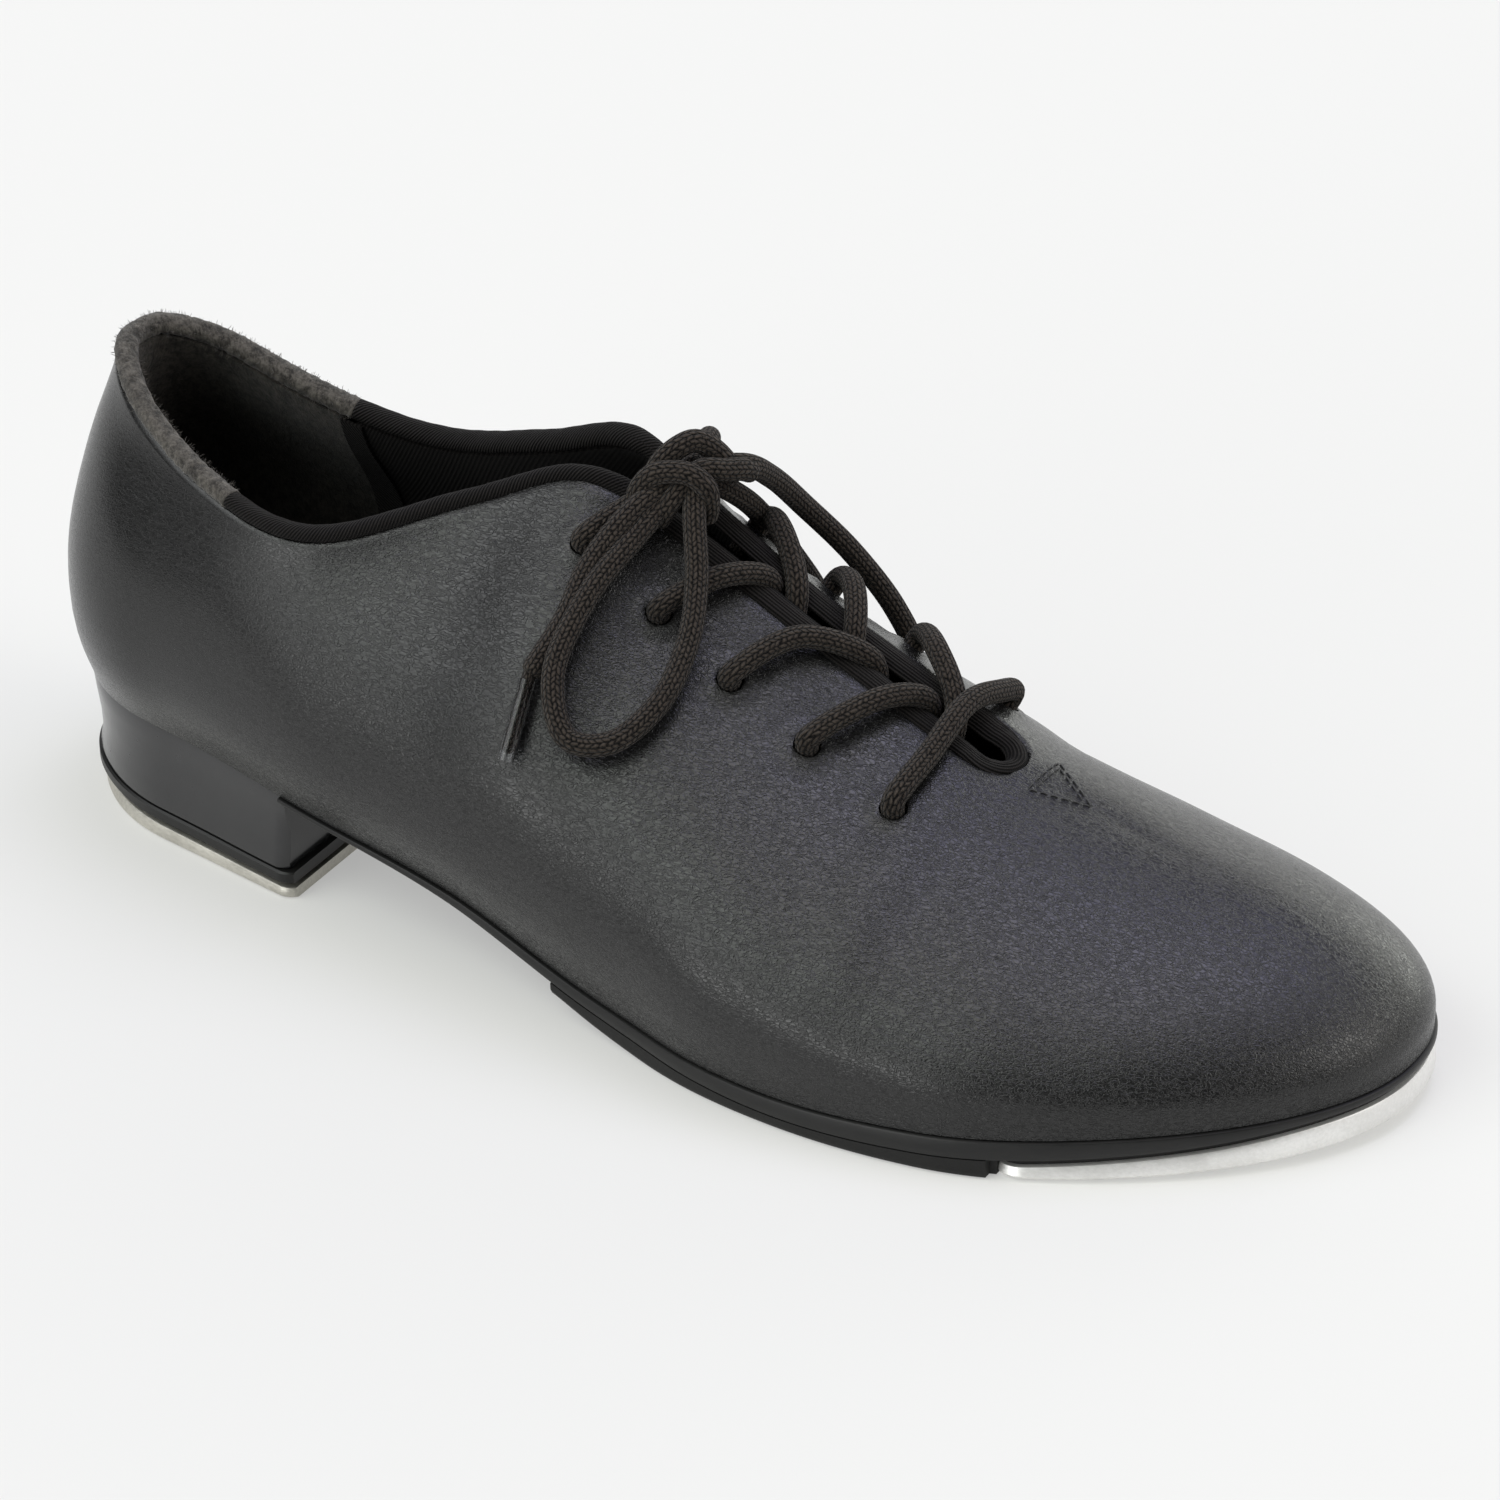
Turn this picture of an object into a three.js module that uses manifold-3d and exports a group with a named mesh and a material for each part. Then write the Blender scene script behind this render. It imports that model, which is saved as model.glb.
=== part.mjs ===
// Tap shoe, right foot, adult size 41-42: lace-up leather upper, stacked heel, metal taps on heel and toe.
// Millimetres. X runs from the heel to the toe, +Y is the inner (big toe) side, +Z is up.
import * as THREE from "three";
import { mergeVertices } from "three/addons/utils/BufferGeometryUtils.js";
import Module from "manifold-3d";

const wasm = await Module();
wasm.setup();

// ---------------------------------------------------------------- driving dimensions
const SOLE_LENGTH = 283; // heel back to toe tip at the feather line, where upper and sole meet
const HEEL_ROUND = 32.3; // length of the rounded heel end of the outline
const TOE_ROUND = 71.3; // length of the rounded toe end of the outline
const ROUND_POWER = 2.15; // 2 is an ellipse, higher is squarer
// Each table row is [position along the shoe, value].
const HALF_WIDTH = [
  [0, 26.6],
  [35, 28.6],
  [70, 32.9],
  [110, 35.5],
  [150, 42.6],
  [165, 46.6],
  [185, 49.4],
  [215, 49.8],
  [250, 46],
  [283, 42.5],
];
const CENTRE_LINE = [
  [0, 2.7],
  [80, -2.5],
  [140, -4.7],
  [200, -4],
  [283, 9.3],
];
const INNER_WAIST = [
  [0, 0],
  [60, 0],
  [110, -4.5],
  [150, -3],
  [190, 0],
  [283, 0],
]; // the inner side is narrower at the arch
const FEATHER_HEIGHT = [
  [0, 25],
  [40, 24.4],
  [75, 21],
  [105, 16.6],
  [140, 8.6],
  [175, 6.4],
  [215, 7.8],
  [250, 9.6],
  [283, 11.3],
];

const BULGE_BACK = 2.4; // the heel back stands this far behind the feather line
const BULGE = [
  [0, 4.1],
  [60, 5.3],
  [110, 5.5],
  [150, 3.6],
  [200, 0.4],
  [250, 0.2],
  [283, 0.6],
];
const BULGE_HEIGHT = [
  [0, 44.5],
  [60, 41.5],
  [110, 35],
  [150, 26],
  [200, 16.5],
  [250, 14],
  [283, 14.5],
];

// The top rail is the edge of the leather: collar, quarter corner, throat edge, then the vamp ridge.
const TOP_STATION = [
  [0, 7.5],
  [30, 35],
  [60, 56],
  [180, 179],
  [230, 228],
  [283, 253],
]; // station on the sole to station of the top rail
const THROAT_BASE = 201.7;
const THROAT_ROUND = 8.4;
const VAMP_START = 184; // from here to the throat base the side turns into the vamp's one surface
const COLLAR_ROUND = 18;
const TOP_HALF_GAP = [
  [7.5, 12.7],
  [40, 21.5],
  [70, 24],
  [95, 15],
  [110, 11.3],
  [120, 9.6],
  [130, 8],
  [150, 6.8],
  [196, 7.6],
];
const TOP_CENTRE = [
  [9, 2.4],
  [60, -3.2],
  [110, 7.5],
  [160, 8.3],
  [200, 9.3],
  [250, 9.4],
];
const TOP_HEIGHT = [
  [9, 90.3],
  [40, 79.2],
  [70, 75.2],
  [95, 83.2],
  [115, 89.6],
  [135, 79.4],
  [165, 64],
  [196, 50.2],
  [225, 41.3],
  [250, 36],
  [262, 33],
];
const TOP_SLOPE = [
  [9, 74],
  [60, 70],
  [100, 48],
  [130, 36],
  [160, 28],
  [190, 14],
  [203, 0],
  [250, 0],
]; // degrees above horizontal at which the leather reaches the top rail
const SIDE_HANDLE = 0.48; // how upright the side stays above the bulge
const TOP_HANDLE = 0.3; // how far the top slope reaches down the side

// Layers, as depths below the outer face of the leather.
const GAP = 0.3;
const LEATHER = [0, 1.4];
const STIFFENER = [1.7, 2.5];
const LINING = [2.8, 3.6];
const SEAM_STATION = 49; // top-rail station where the heel lining meets the quarter lining

// Sole stack.
const OUTSOLE = [
  [0, 1.3],
  [90, 1.4],
  [115, 2.2],
  [140, 2.7],
  [262, 2.6],
  [276, 1.6],
  [283, 1.5],
]; // its thickness along the shoe
const SOLE_EDGE = 0.6; // outsole edge beyond the feather line
const INSOLE = 2;
const SOCK = 1.2;
const SHANK = { from: 52, to: 150, width: 12, thickness: 1 };
const PAD = { from: 131, to: 226.2 };
const PAD_BOTTOM = [
  [131, 4.9],
  [142, 2],
  [154, 0.2],
  [165, 0],
  [228, 0],
];
const PACKING = 0.9; // thickness of the packing between the sole and the toe tap
const TOE_TAP_START = 228;
const TAP_CORNER = 5; // radius of the toe tap's back corners
const TOE_SPRING = [
  [0, 0],
  [228, 0],
  [245, 0.4],
  [265, 1.3],
  [283, 2.4],
];

// Heel.
const BREAST = 64.8; // front face of the heel
const LIFT = { thickness: 2.4, proud: 0.4 };
const LIFT_BOTTOM = [
  [0, 5],
  [66.5, 3.4],
];
const HEEL_FLARE = [
  [0, 0.9],
  [12, 0.2],
  [28, -0.9],
  [50, -1],
  [66.5, -0.8],
]; // how far the foot of the heel stands in from the feather line
const HEEL_CORNER = 3.5; // radius of its front corners
const HEEL_BOARD = 0.5;
const HEEL_TAP_INSET = [
  [0, 1.7],
  [20, 0.4],
  [66.5, 0.1],
];

// Flex line of the sole, across the ball of the foot.
const BALL = { x: 196.5, z: 5, lean: 12, open: 26 };

// Lacing.
const LACE = 2.2; // radius of the round cotton lace
const EYELET = 3; // radius of a punched eyelet
const EYELETS = [
  { x: 188, v: 0.8 },
  { x: 169, v: 0.81 },
  { x: 151.5, v: 0.82 },
  { x: 135, v: 0.84 },
  { x: 118.5, v: 0.87 },
]; // top-rail station and height up the side, from the toe end
const CROSSINGS = [184, 167.5, 150.5];
const KNOT = new THREE.Vector3(133, 5, 93);

// The part's origin is below the middle of the rigid shoe, on the floor.
const ORIGIN = [140.6, -3.1, 0];

// ---------------------------------------------------------------- curves and the shoe's surface
/** Smooth curve through the rows of a table, held constant beyond its ends. */
function curve(table, at) {
  const n = table.length;
  const x = Math.min(Math.max(at, table[0][0]), table[n - 1][0]);
  let i = 0;
  while (i < n - 2 && x >= table[i + 1][0]) i++;
  const step = (k) => table[k + 1][0] - table[k][0];
  const rise = (k) => (table[k + 1][1] - table[k][1]) / step(k);
  const slope = (k) => {
    if (k === 0) return rise(0);
    if (k === n - 1) return rise(n - 2);
    return (rise(k - 1) * step(k) + rise(k) * step(k - 1)) / (step(k) + step(k - 1));
  };
  const h = step(i);
  const s = (x - table[i][0]) / h;
  return (
    (2 * s ** 3 - 3 * s ** 2 + 1) * table[i][1] +
    (s ** 3 - 2 * s ** 2 + s) * h * slope(i) +
    (3 * s ** 2 - 2 * s ** 3) * table[i + 1][1] +
    (s ** 3 - s ** 2) * h * slope(i + 1)
  );
}

/** 1 in the middle of a length, falling to 0 round an end. */
function rounding(inside, length, power) {
  const t = Math.min(Math.max(1 - inside / length, 0), 1);
  return (1 - t ** power) ** (1 / power);
}

function endRounding(x) {
  return rounding(x, HEEL_ROUND, ROUND_POWER) * rounding(SOLE_LENGTH - x, TOE_ROUND, ROUND_POWER);
}

function halfWidth(x, side) {
  const waist = side > 0 ? curve(INNER_WAIST, x) : 0;
  return (curve(HALF_WIDTH, x) + waist) * endRounding(x);
}

/** Station along the sole for the loft parameter u: 0 at the heel back, 1 at the toe tip. */
function station(u) {
  return (SOLE_LENGTH * (1 - Math.cos(Math.PI * u))) / 2;
}

function loftAt(x) {
  return Math.acos(1 - (2 * Math.min(Math.max(x, 0), SOLE_LENGTH)) / SOLE_LENGTH) / Math.PI;
}

/** Loft parameter whose top-rail point is at station x. */
function loftAtTop(x) {
  let low = 0;
  let high = 1;
  for (let i = 0; i < 40; i++) {
    const middle = (low + high) / 2;
    if (curve(TOP_STATION, station(middle)) < x) low = middle;
    else high = middle;
  }
  return high;
}

function bezier(p0, p1, p2, p3, t) {
  const s = 1 - t;
  return new THREE.Vector3()
    .addScaledVector(p0, s ** 3)
    .addScaledVector(p1, 3 * s ** 2 * t)
    .addScaledVector(p2, 3 * s * t ** 2)
    .addScaledVector(p3, t ** 3);
}

const UP = new THREE.Vector3(0, 0, 1);
const TUCK = 0.2; // share of v below the bulge line

/** Half the width of the opening at station tx of the top rail. */
function throatHalf(tx) {
  if (tx >= THROAT_BASE) return 0;
  const back = rounding(tx - TOP_STATION[0][1], COLLAR_ROUND, 2.2);
  return back * rounding(THROAT_BASE - tx, THROAT_ROUND, 2) * curve(TOP_HALF_GAP, tx);
}

/** Feather and bulge rails at u, and the station of the top rail. */
function rails(u, side) {
  const x = station(u);
  const feather = new THREE.Vector3(
    x,
    curve(CENTRE_LINE, x) + side * halfWidth(x, side),
    curve(FEATHER_HEIGHT, x),
  );
  const swell = curve(BULGE, x) * endRounding(x);
  const bulge = new THREE.Vector3(
    (x * (SOLE_LENGTH + BULGE_BACK)) / SOLE_LENGTH - BULGE_BACK,
    feather.y + side * swell,
    curve(BULGE_HEIGHT, x),
  );
  return { feather, bulge, tx: curve(TOP_STATION, x) };
}

/** Curve from the bulge rail up to a top point, reached at a slope in radians. */
function sideCurve(bulge, top, slope, t) {
  const inward = new THREE.Vector3(top.x - bulge.x, top.y - bulge.y, 0).normalize();
  const direction = inward.multiplyScalar(Math.cos(slope)).addScaledVector(UP, Math.sin(slope));
  const low = bulge.clone().addScaledVector(UP, SIDE_HANDLE * (top.z - bulge.z));
  const high = top.clone().addScaledVector(direction, -TOP_HANDLE * top.distanceTo(bulge));
  return bezier(bulge, low, high, top, t);
}

const radians = (degrees) => (degrees * Math.PI) / 180;

/** Side of the shoe that ends at the edge of the opening. */
function toEdge(bulge, tx, side, t) {
  const y = curve(TOP_CENTRE, tx) + side * throatHalf(tx);
  const top = new THREE.Vector3(tx, y, curve(TOP_HEIGHT, tx));
  return sideCurve(bulge, top, radians(curve(TOP_SLOPE, tx)), t);
}

/** The same side carried on over the instep to the middle, as the vamp is. */
function toRidge(bulge, tx, t) {
  const lift = 0.5 * curve(TOP_HALF_GAP, tx) * Math.tan(radians(curve(TOP_SLOPE, tx)));
  const top = new THREE.Vector3(tx, curve(TOP_CENTRE, tx), curve(TOP_HEIGHT, tx) + lift);
  const inward = new THREE.Vector3(top.x - bulge.x, top.y - bulge.y, 0).normalize();
  const fall = (curve(TOP_HEIGHT, tx + 0.5) - curve(TOP_HEIGHT, tx - 0.5)) * inward.x;
  const across = radians(curve(TOP_SLOPE, Math.max(tx, THROAT_BASE)));
  return sideCurve(bulge, top, across + Math.atan(fall), t);
}

/** Point of the vamp's surface, which stops where the edge of the opening crosses it. */
function cutAtEdge(bulge, tx, side, t) {
  let low = 0.2;
  let high = 1;
  for (let i = 0; i < 24; i++) {
    const middle = (low + high) / 2;
    const p = toRidge(bulge, tx, middle);
    if (side * (p.y - curve(TOP_CENTRE, p.x)) > throatHalf(tx)) low = middle;
    else high = middle;
  }
  return toRidge(bulge, tx, t * high);
}

/** Point of the leather's outer face: v is 0 at the feather line and 1 at the top rail. */
function surface(u, side, v) {
  const { feather, bulge, tx } = rails(u, side);
  if (v < TUCK) {
    const rise = bulge.z - feather.z;
    const out = new THREE.Vector3(bulge.x - feather.x, bulge.y - feather.y, 0);
    const low = feather.clone().addScaledVector(out, 0.35).addScaledVector(UP, 0.25 * rise);
    const high = bulge.clone().addScaledVector(UP, -0.5 * rise);
    return bezier(feather, low, high, bulge, v / TUCK);
  }
  const t = (v - TUCK) / (1 - TUCK);
  if (tx >= THROAT_BASE) return toRidge(bulge, tx, t);
  const quarter = toEdge(bulge, tx, side, t);
  if (tx <= VAMP_START) return quarter;
  const share = Math.min((tx - VAMP_START) / (THROAT_BASE - 2.5 - VAMP_START), 1);
  return quarter.lerp(cutAtEdge(bulge, tx, side, t), share * share * (3 - 2 * share));
}

/** The same point, for a u that may run past either end onto the other side of the shoe. */
function wrapped(u, side, v) {
  if (u < 0) return surface(-u, -side, v);
  if (u > 1) return surface(2 - u, -side, v);
  return surface(u, side, v);
}

/** Outward normal of the leather. */
function normal(u, side, v) {
  const tx = curve(TOP_STATION, station(u));
  if (v > 0.999 && tx >= THROAT_BASE - 0.01) {
    const fall = curve(TOP_HEIGHT, tx + 0.5) - curve(TOP_HEIGHT, tx - 0.5);
    return new THREE.Vector3(-fall, 0, 1).normalize();
  }
  const across = wrapped(u + 0.008, side, v).sub(wrapped(u - 0.008, side, v));
  const up = surface(u, side, Math.min(v + 0.01, 1)).sub(surface(u, side, Math.max(v - 0.01, 0)));
  return across.cross(up).multiplyScalar(-side).normalize();
}

/** Point at a height above the leather; a negative height is inside the shoe. */
function onLeather(u, side, v, height) {
  return surface(u, side, v).addScaledVector(normal(u, side, v), height);
}

// ---------------------------------------------------------------- solids
/** Manifold solid of a three.js geometry. */
function solid(geometry) {
  const bare = geometry.clone();
  bare.deleteAttribute("normal");
  bare.deleteAttribute("uv");
  const merged = mergeVertices(bare, 1e-4);
  return new wasm.Manifold(
    new wasm.Mesh({
      numProp: 3,
      vertProperties: merged.attributes.position.array,
      triVerts: new Uint32Array(merged.index.array),
    }),
  );
}

function fromQuads(quads) {
  const positions = [];
  for (const [a, b, c, d] of quads) {
    for (const p of [a, b, c, a, c, d]) positions.push(p.x, p.y, p.z);
  }
  const made = new THREE.BufferGeometry();
  made.setAttribute("position", new THREE.Float32BufferAttribute(positions, 3));
  return made;
}

/** Drops the triangles that collapsed to a line. */
function closedSolid(quads) {
  const merged = mergeVertices(fromQuads(quads), 1e-4);
  const index = [];
  for (let i = 0; i < merged.index.count; i += 3) {
    const [a, b, c] = [0, 1, 2].map((k) => merged.index.getX(i + k));
    if (a !== b && b !== c && c !== a) index.push(a, b, c);
  }
  merged.setIndex(index);
  return solid(merged);
}

/**
 * Leather-like layer between two depths. The columns run round the shoe; a closed one goes all
 * the way round, an open one has an edge at each end.
 */
function layer(columns, levels, [outer, inner], closed = false) {
  const grid = columns.map(({ u, side }) => ({
    onRidge: curve(TOP_STATION, station(u)) >= THROAT_BASE - 0.01,
    out: levels.map((v) => onLeather(u, side, v, -outer)),
    ins: levels.map((v) => onLeather(u, side, v, -inner)),
  }));
  const last = levels.length - 1;
  const reachesTop = levels[last] === 1;
  const quads = [];
  const count = closed ? grid.length : grid.length - 1;
  for (let i = 0; i < count; i++) {
    const a = grid[i];
    const b = grid[(i + 1) % grid.length];
    for (let k = 0; k < last; k++) {
      quads.push([a.out[k], b.out[k], b.out[k + 1], a.out[k + 1]]);
      quads.push([a.ins[k], a.ins[k + 1], b.ins[k + 1], b.ins[k]]);
    }
    quads.push([b.out[0], a.out[0], a.ins[0], b.ins[0]]);
    if (!(reachesTop && a.onRidge && b.onRidge)) {
      quads.push([a.out[last], b.out[last], b.ins[last], a.ins[last]]);
    }
  }
  if (!closed) {
    const ends = [grid[0], grid[grid.length - 1]];
    ends.forEach((e, end) => {
      for (let k = 0; k < last; k++) {
        const quad = [e.out[k], e.out[k + 1], e.ins[k + 1], e.ins[k]];
        quads.push(end ? quad.reverse() : quad);
      }
    });
  }
  return closedSolid(quads);
}

/** Columns from the outer side, round the toe, to the inner side. */
function roundToe(list) {
  const near = list.map((u) => ({ u, side: -1 }));
  const far = list
    .filter((u) => u < 1)
    .reverse()
    .map((u) => ({ u, side: 1 }));
  return [...near, ...far];
}

/** Columns from the inner side, round the heel, to the outer side. */
function roundHeel(list) {
  const far = list
    .filter((u) => u > 0)
    .reverse()
    .map((u) => ({ u, side: 1 }));
  const near = list.map((u) => ({ u, side: -1 }));
  return [...far, ...near];
}

function steps(from, to, count) {
  return Array.from({ length: count + 1 }, (_, i) => from + ((to - from) * i) / count);
}

/** Plan position of the sole's outline, moved in from the feather line. */
function outline(u, side, inset) {
  const at = (w) => {
    const t = w < 0 ? -w : w > 1 ? 2 - w : w;
    const s = w < 0 || w > 1 ? -side : side;
    const p = station(t);
    return new THREE.Vector2(p, curve(CENTRE_LINE, p) + s * halfWidth(p, s));
  };
  const along = at(u + 0.004).sub(at(u - 0.004)).normalize();
  const inwards = new THREE.Vector2(along.y, -along.x).multiplyScalar(side);
  return at(u).addScaledVector(inwards, inset);
}

/**
 * Slab between levels, bottom first. A level gives the point of the outline for (u, side).
 */
function slab(list, levels) {
  const rows = levels.map((level) => list.map((u) => [level(u, -1), level(u, 1)]));
  const top = rows[rows.length - 1];
  const quads = [];
  for (let i = 0; i < list.length - 1; i++) {
    quads.push([rows[0][i][0], rows[0][i][1], rows[0][i + 1][1], rows[0][i + 1][0]]);
    quads.push([top[i][1], top[i][0], top[i + 1][0], top[i + 1][1]]);
    for (let k = 0; k < rows.length - 1; k++) {
      const [low, high] = [rows[k], rows[k + 1]];
      quads.push([low[i][0], low[i + 1][0], high[i + 1][0], high[i][0]]);
      quads.push([low[i + 1][1], low[i][1], high[i][1], high[i + 1][1]]);
    }
  }
  for (let k = 0; k < rows.length - 1; k++) {
    const [low, high] = [rows[k], rows[k + 1]];
    const end = list.length - 1;
    quads.push([low[0][1], low[0][0], high[0][0], high[0][1]]);
    quads.push([low[end][0], low[end][1], high[end][1], high[end][0]]);
  }
  return closedSolid(quads);
}

/** Level of a slab that follows the feather outline, moved in by inset, at height z(x). */
function level(inset, z) {
  return (u, side) => {
    const p = outline(u, side, inset);
    return new THREE.Vector3(p.x, p.y, z(p.x));
  };
}

const feather = (x) => curve(FEATHER_HEIGHT, x);
const raised = (by) => (x) => feather(x) + by;

/** Extra inset that rounds a corner off, for a station some way before a square end. */
function corner(toEnd, radius) {
  return radius * (1 - rounding(toEnd, radius, 2));
}

/** Level of the heel's foot: the flared outline, moved in by an inset that can vary with x. */
function heelLevel(inset, z, end = BREAST) {
  return (u, side) => {
    const x = station(u);
    const flare = curve(HEEL_FLARE, x) + corner(end + 0.6 - x, HEEL_CORNER);
    return level(inset(x) + flare, z)(u, side);
  };
}

/** Round bar along a path, as an extruded circle. */
function bar(points, radius, sides, spacing) {
  const path = new THREE.CatmullRomCurve3(points, false, "centripetal");
  path.arcLengthDivisions = 400;
  const count = Math.max(4, Math.round(path.getLength() / spacing));
  const circle = new THREE.Shape(
    steps(0, sides - 1, sides - 1).map((k) => {
      const angle = (2 * Math.PI * k) / sides;
      return new THREE.Vector2(radius * Math.cos(angle), radius * Math.sin(angle));
    }),
  );
  const swept = new THREE.ExtrudeGeometry(circle, { steps: count, extrudePath: path });
  return outward(solid(swept));
}

function outward(made) {
  if (made.volume() >= 0) return made;
  throw new Error("a swept bar is inside out");
}

function cylinder(radius, from, to, sides = 12) {
  const axis = to.clone().sub(from);
  const made = new THREE.CylinderGeometry(radius, radius, axis.length(), sides);
  const turn = new THREE.Quaternion().setFromUnitVectors(
    new THREE.Vector3(0, 1, 0),
    axis.clone().normalize(),
  );
  made.applyQuaternion(turn);
  const middle = from.clone().add(to).multiplyScalar(0.5);
  made.translate(middle.x, middle.y, middle.z);
  return solid(made);
}

function largest(made) {
  return made.decompose().reduce((a, b) => (a.volume() > b.volume() ? a : b));
}

/** Half space, cut along the flex line, that holds the heel end or the toe end. */
function flexSide(end) {
  const clearance = (end * GAP) / 2;
  const lean = ((BALL.lean + (end > 0 ? BALL.open : 0)) * Math.PI) / 180;
  const tall = 200;
  const x = BALL.x + clearance;
  const far = end * 400;
  const profile = new THREE.Shape([
    new THREE.Vector2(x + far, -50),
    new THREE.Vector2(x, -50),
    new THREE.Vector2(x, BALL.z),
    new THREE.Vector2(x + tall * Math.tan(lean), BALL.z + tall),
    new THREE.Vector2(x + far, BALL.z + tall),
  ]);
  const block = new THREE.ExtrudeGeometry(profile, { depth: 300, bevelEnabled: false });
  block.translate(0, 0, -150);
  block.rotateX(Math.PI / 2);
  return solid(block);
}

const HEEL_END = flexSide(-1);
const TOE_END = flexSide(1);

/** Wedge above the flex line, between the heel end and the toe end, where the upper creases. */
function flexWedge() {
  const lean = (degrees) => Math.tan((degrees * Math.PI) / 180);
  const low = 2;
  const tall = 150;
  const rear = (z) => BALL.x + GAP + z * lean(BALL.lean);
  const front = (z) => BALL.x - GAP + z * lean(BALL.lean + BALL.open);
  const profile = new THREE.Shape([
    new THREE.Vector2(rear(low), BALL.z + low),
    new THREE.Vector2(front(low), BALL.z + low),
    new THREE.Vector2(front(tall), BALL.z + tall),
    new THREE.Vector2(rear(tall), BALL.z + tall),
  ]);
  const block = new THREE.ExtrudeGeometry(profile, { depth: 300, bevelEnabled: false });
  block.translate(0, 0, -150);
  block.rotateX(Math.PI / 2);
  return solid(block);
}

const CREASE = flexWedge();

// ---------------------------------------------------------------- materials and nodes
const shoe = new THREE.Group();
shoe.name = "tap_shoe";

const MATERIALS = {
  leather: { color: 0x4e4e4d, roughness: 0.45, metalness: 0 },
  felt: { color: 0x575653, roughness: 0.95, metalness: 0 },
  twill: { color: 0x1c1b1b, roughness: 0.9, metalness: 0 },
  tape: { color: 0x242323, roughness: 0.85, metalness: 0 },
  stiffener: { color: 0x8a7f6c, roughness: 0.8, metalness: 0 },
  board: { color: 0x9a7b55, roughness: 0.85, metalness: 0 },
  rubber: { color: 0x222222, roughness: 0.7, metalness: 0 },
  heel: { color: 0x2e2e30, roughness: 0.25, metalness: 0 },
  aluminium: { color: 0xc9c9c6, roughness: 0.35, metalness: 1 },
  steel: { color: 0xa8a9ab, roughness: 0.4, metalness: 1 },
  cotton: { color: 0x242323, roughness: 0.9, metalness: 0 },
  plastic: { color: 0xd8dadb, roughness: 0.15, metalness: 0 },
};

function add(name, made, material) {
  const mesh = made.getMesh();
  const geometry = new THREE.BufferGeometry();
  geometry.setAttribute("position", new THREE.BufferAttribute(mesh.vertProperties, 3));
  geometry.setIndex(new THREE.BufferAttribute(mesh.triVerts, 1));
  geometry.translate(-ORIGIN[0], -ORIGIN[1], -ORIGIN[2]);
  geometry.computeVertexNormals();
  const node = new THREE.Mesh(geometry, new THREE.MeshStandardMaterial(MATERIALS[material]));
  node.name = name;
  shoe.add(node);
}

/** Adds a piece that crosses the flex line as its heel end and its toe end. */
function addSplit(name, made, material) {
  add(name + "_rear", largest(made.intersect(HEEL_END)), material);
  add(name + "_front", largest(made.intersect(TOE_END)), material);
}

/** The same for a piece of the upper, with the band between them that creases. */
function addCreased(name, made, material) {
  addSplit(name, made, material);
  add(name + "_crease", largest(made.intersect(CREASE)), material);
}

// ---------------------------------------------------------------- lace
const OUTER = -1;
const INNER = 1;

function eyelet(k, side, height) {
  const { x, v } = EYELETS[k];
  return onLeather(loftAtTop(x), side, v, height);
}

function throatPoint(x, y, height) {
  return new THREE.Vector3(x, curve(TOP_CENTRE, x) + y, curve(TOP_HEIGHT, x) + height);
}

/** Lace that leaves the throat's centre over one side and goes in at eyelet k. */
function overTo(k, side, stagger) {
  const x = CROSSINGS[k - 1] + stagger;
  const edge = loftAtTop(EYELETS[k].x + 7);
  return [
    throatPoint(x, -side * 2.5, -7),
    throatPoint(x, side * 1.5, 1.5),
    onLeather(edge, side, 0.97, 4),
    eyelet(k, side, 2.6),
    eyelet(k, side, -1),
    eyelet(k, side, -7),
  ];
}

/** One end of the lace, from the middle of the bottom bar to the top eyelet and the knot. */
function laceHalf(first) {
  const other = -first;
  const stagger = first === OUTER ? 2.4 : -2.4;
  const top = EYELETS.length - 1;
  return [
    throatPoint(189.5, 0, 5.4),
    onLeather(loftAtTop(188.5), first, 0.93, 3.2),
    eyelet(0, first, 2.6),
    eyelet(0, first, -1),
    eyelet(0, first, -7),
    ...overTo(1, other, stagger),
    ...overTo(2, first, stagger),
    ...overTo(3, other, stagger),
    throatPoint(127, 0, -8 + stagger),
    eyelet(top, first, -7),
    eyelet(top, first, -1),
    eyelet(top, first, 2.8),
    KNOT.clone().add(new THREE.Vector3(-5, first * 6, -3)),
    KNOT,
  ];
}

function laceRun(radius) {
  return wasm.Manifold.union([
    bar(laceHalf(OUTER), radius, 6, 4),
    bar(laceHalf(INNER), radius, 6, 4),
  ]);
}

function knotBody(grow) {
  const ball = new THREE.SphereGeometry(1, 12, 8);
  ball.scale(9 + grow, 8 + grow, 6 + grow);
  ball.translate(KNOT.x, KNOT.y, KNOT.z);
  return solid(ball);
}

const lace = wasm.Manifold.union([laceRun(LACE), knotBody(0)]);
const laceRoom = laceRun(LACE + 0.4);

const eyeletHoles = wasm.Manifold.union(
  EYELETS.flatMap((_, k) =>
    [OUTER, INNER].map((side) => cylinder(EYELET, eyelet(k, side, -9), eyelet(k, side, 5), 8)),
  ),
);

/** Punches the eyelets in a layer. */
function punched(made) {
  return largest(made.subtract(eyeletHoles));
}

/** Presses the lace's own groove into a soft piece that it lies on. */
function pressed(made) {
  return largest(made.subtract(laceRoom));
}

// ---------------------------------------------------------------- upper
const throatU = loftAtTop(THROAT_BASE) + 1e-6;
const seamU = loftAtTop(SEAM_STATION);
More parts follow.
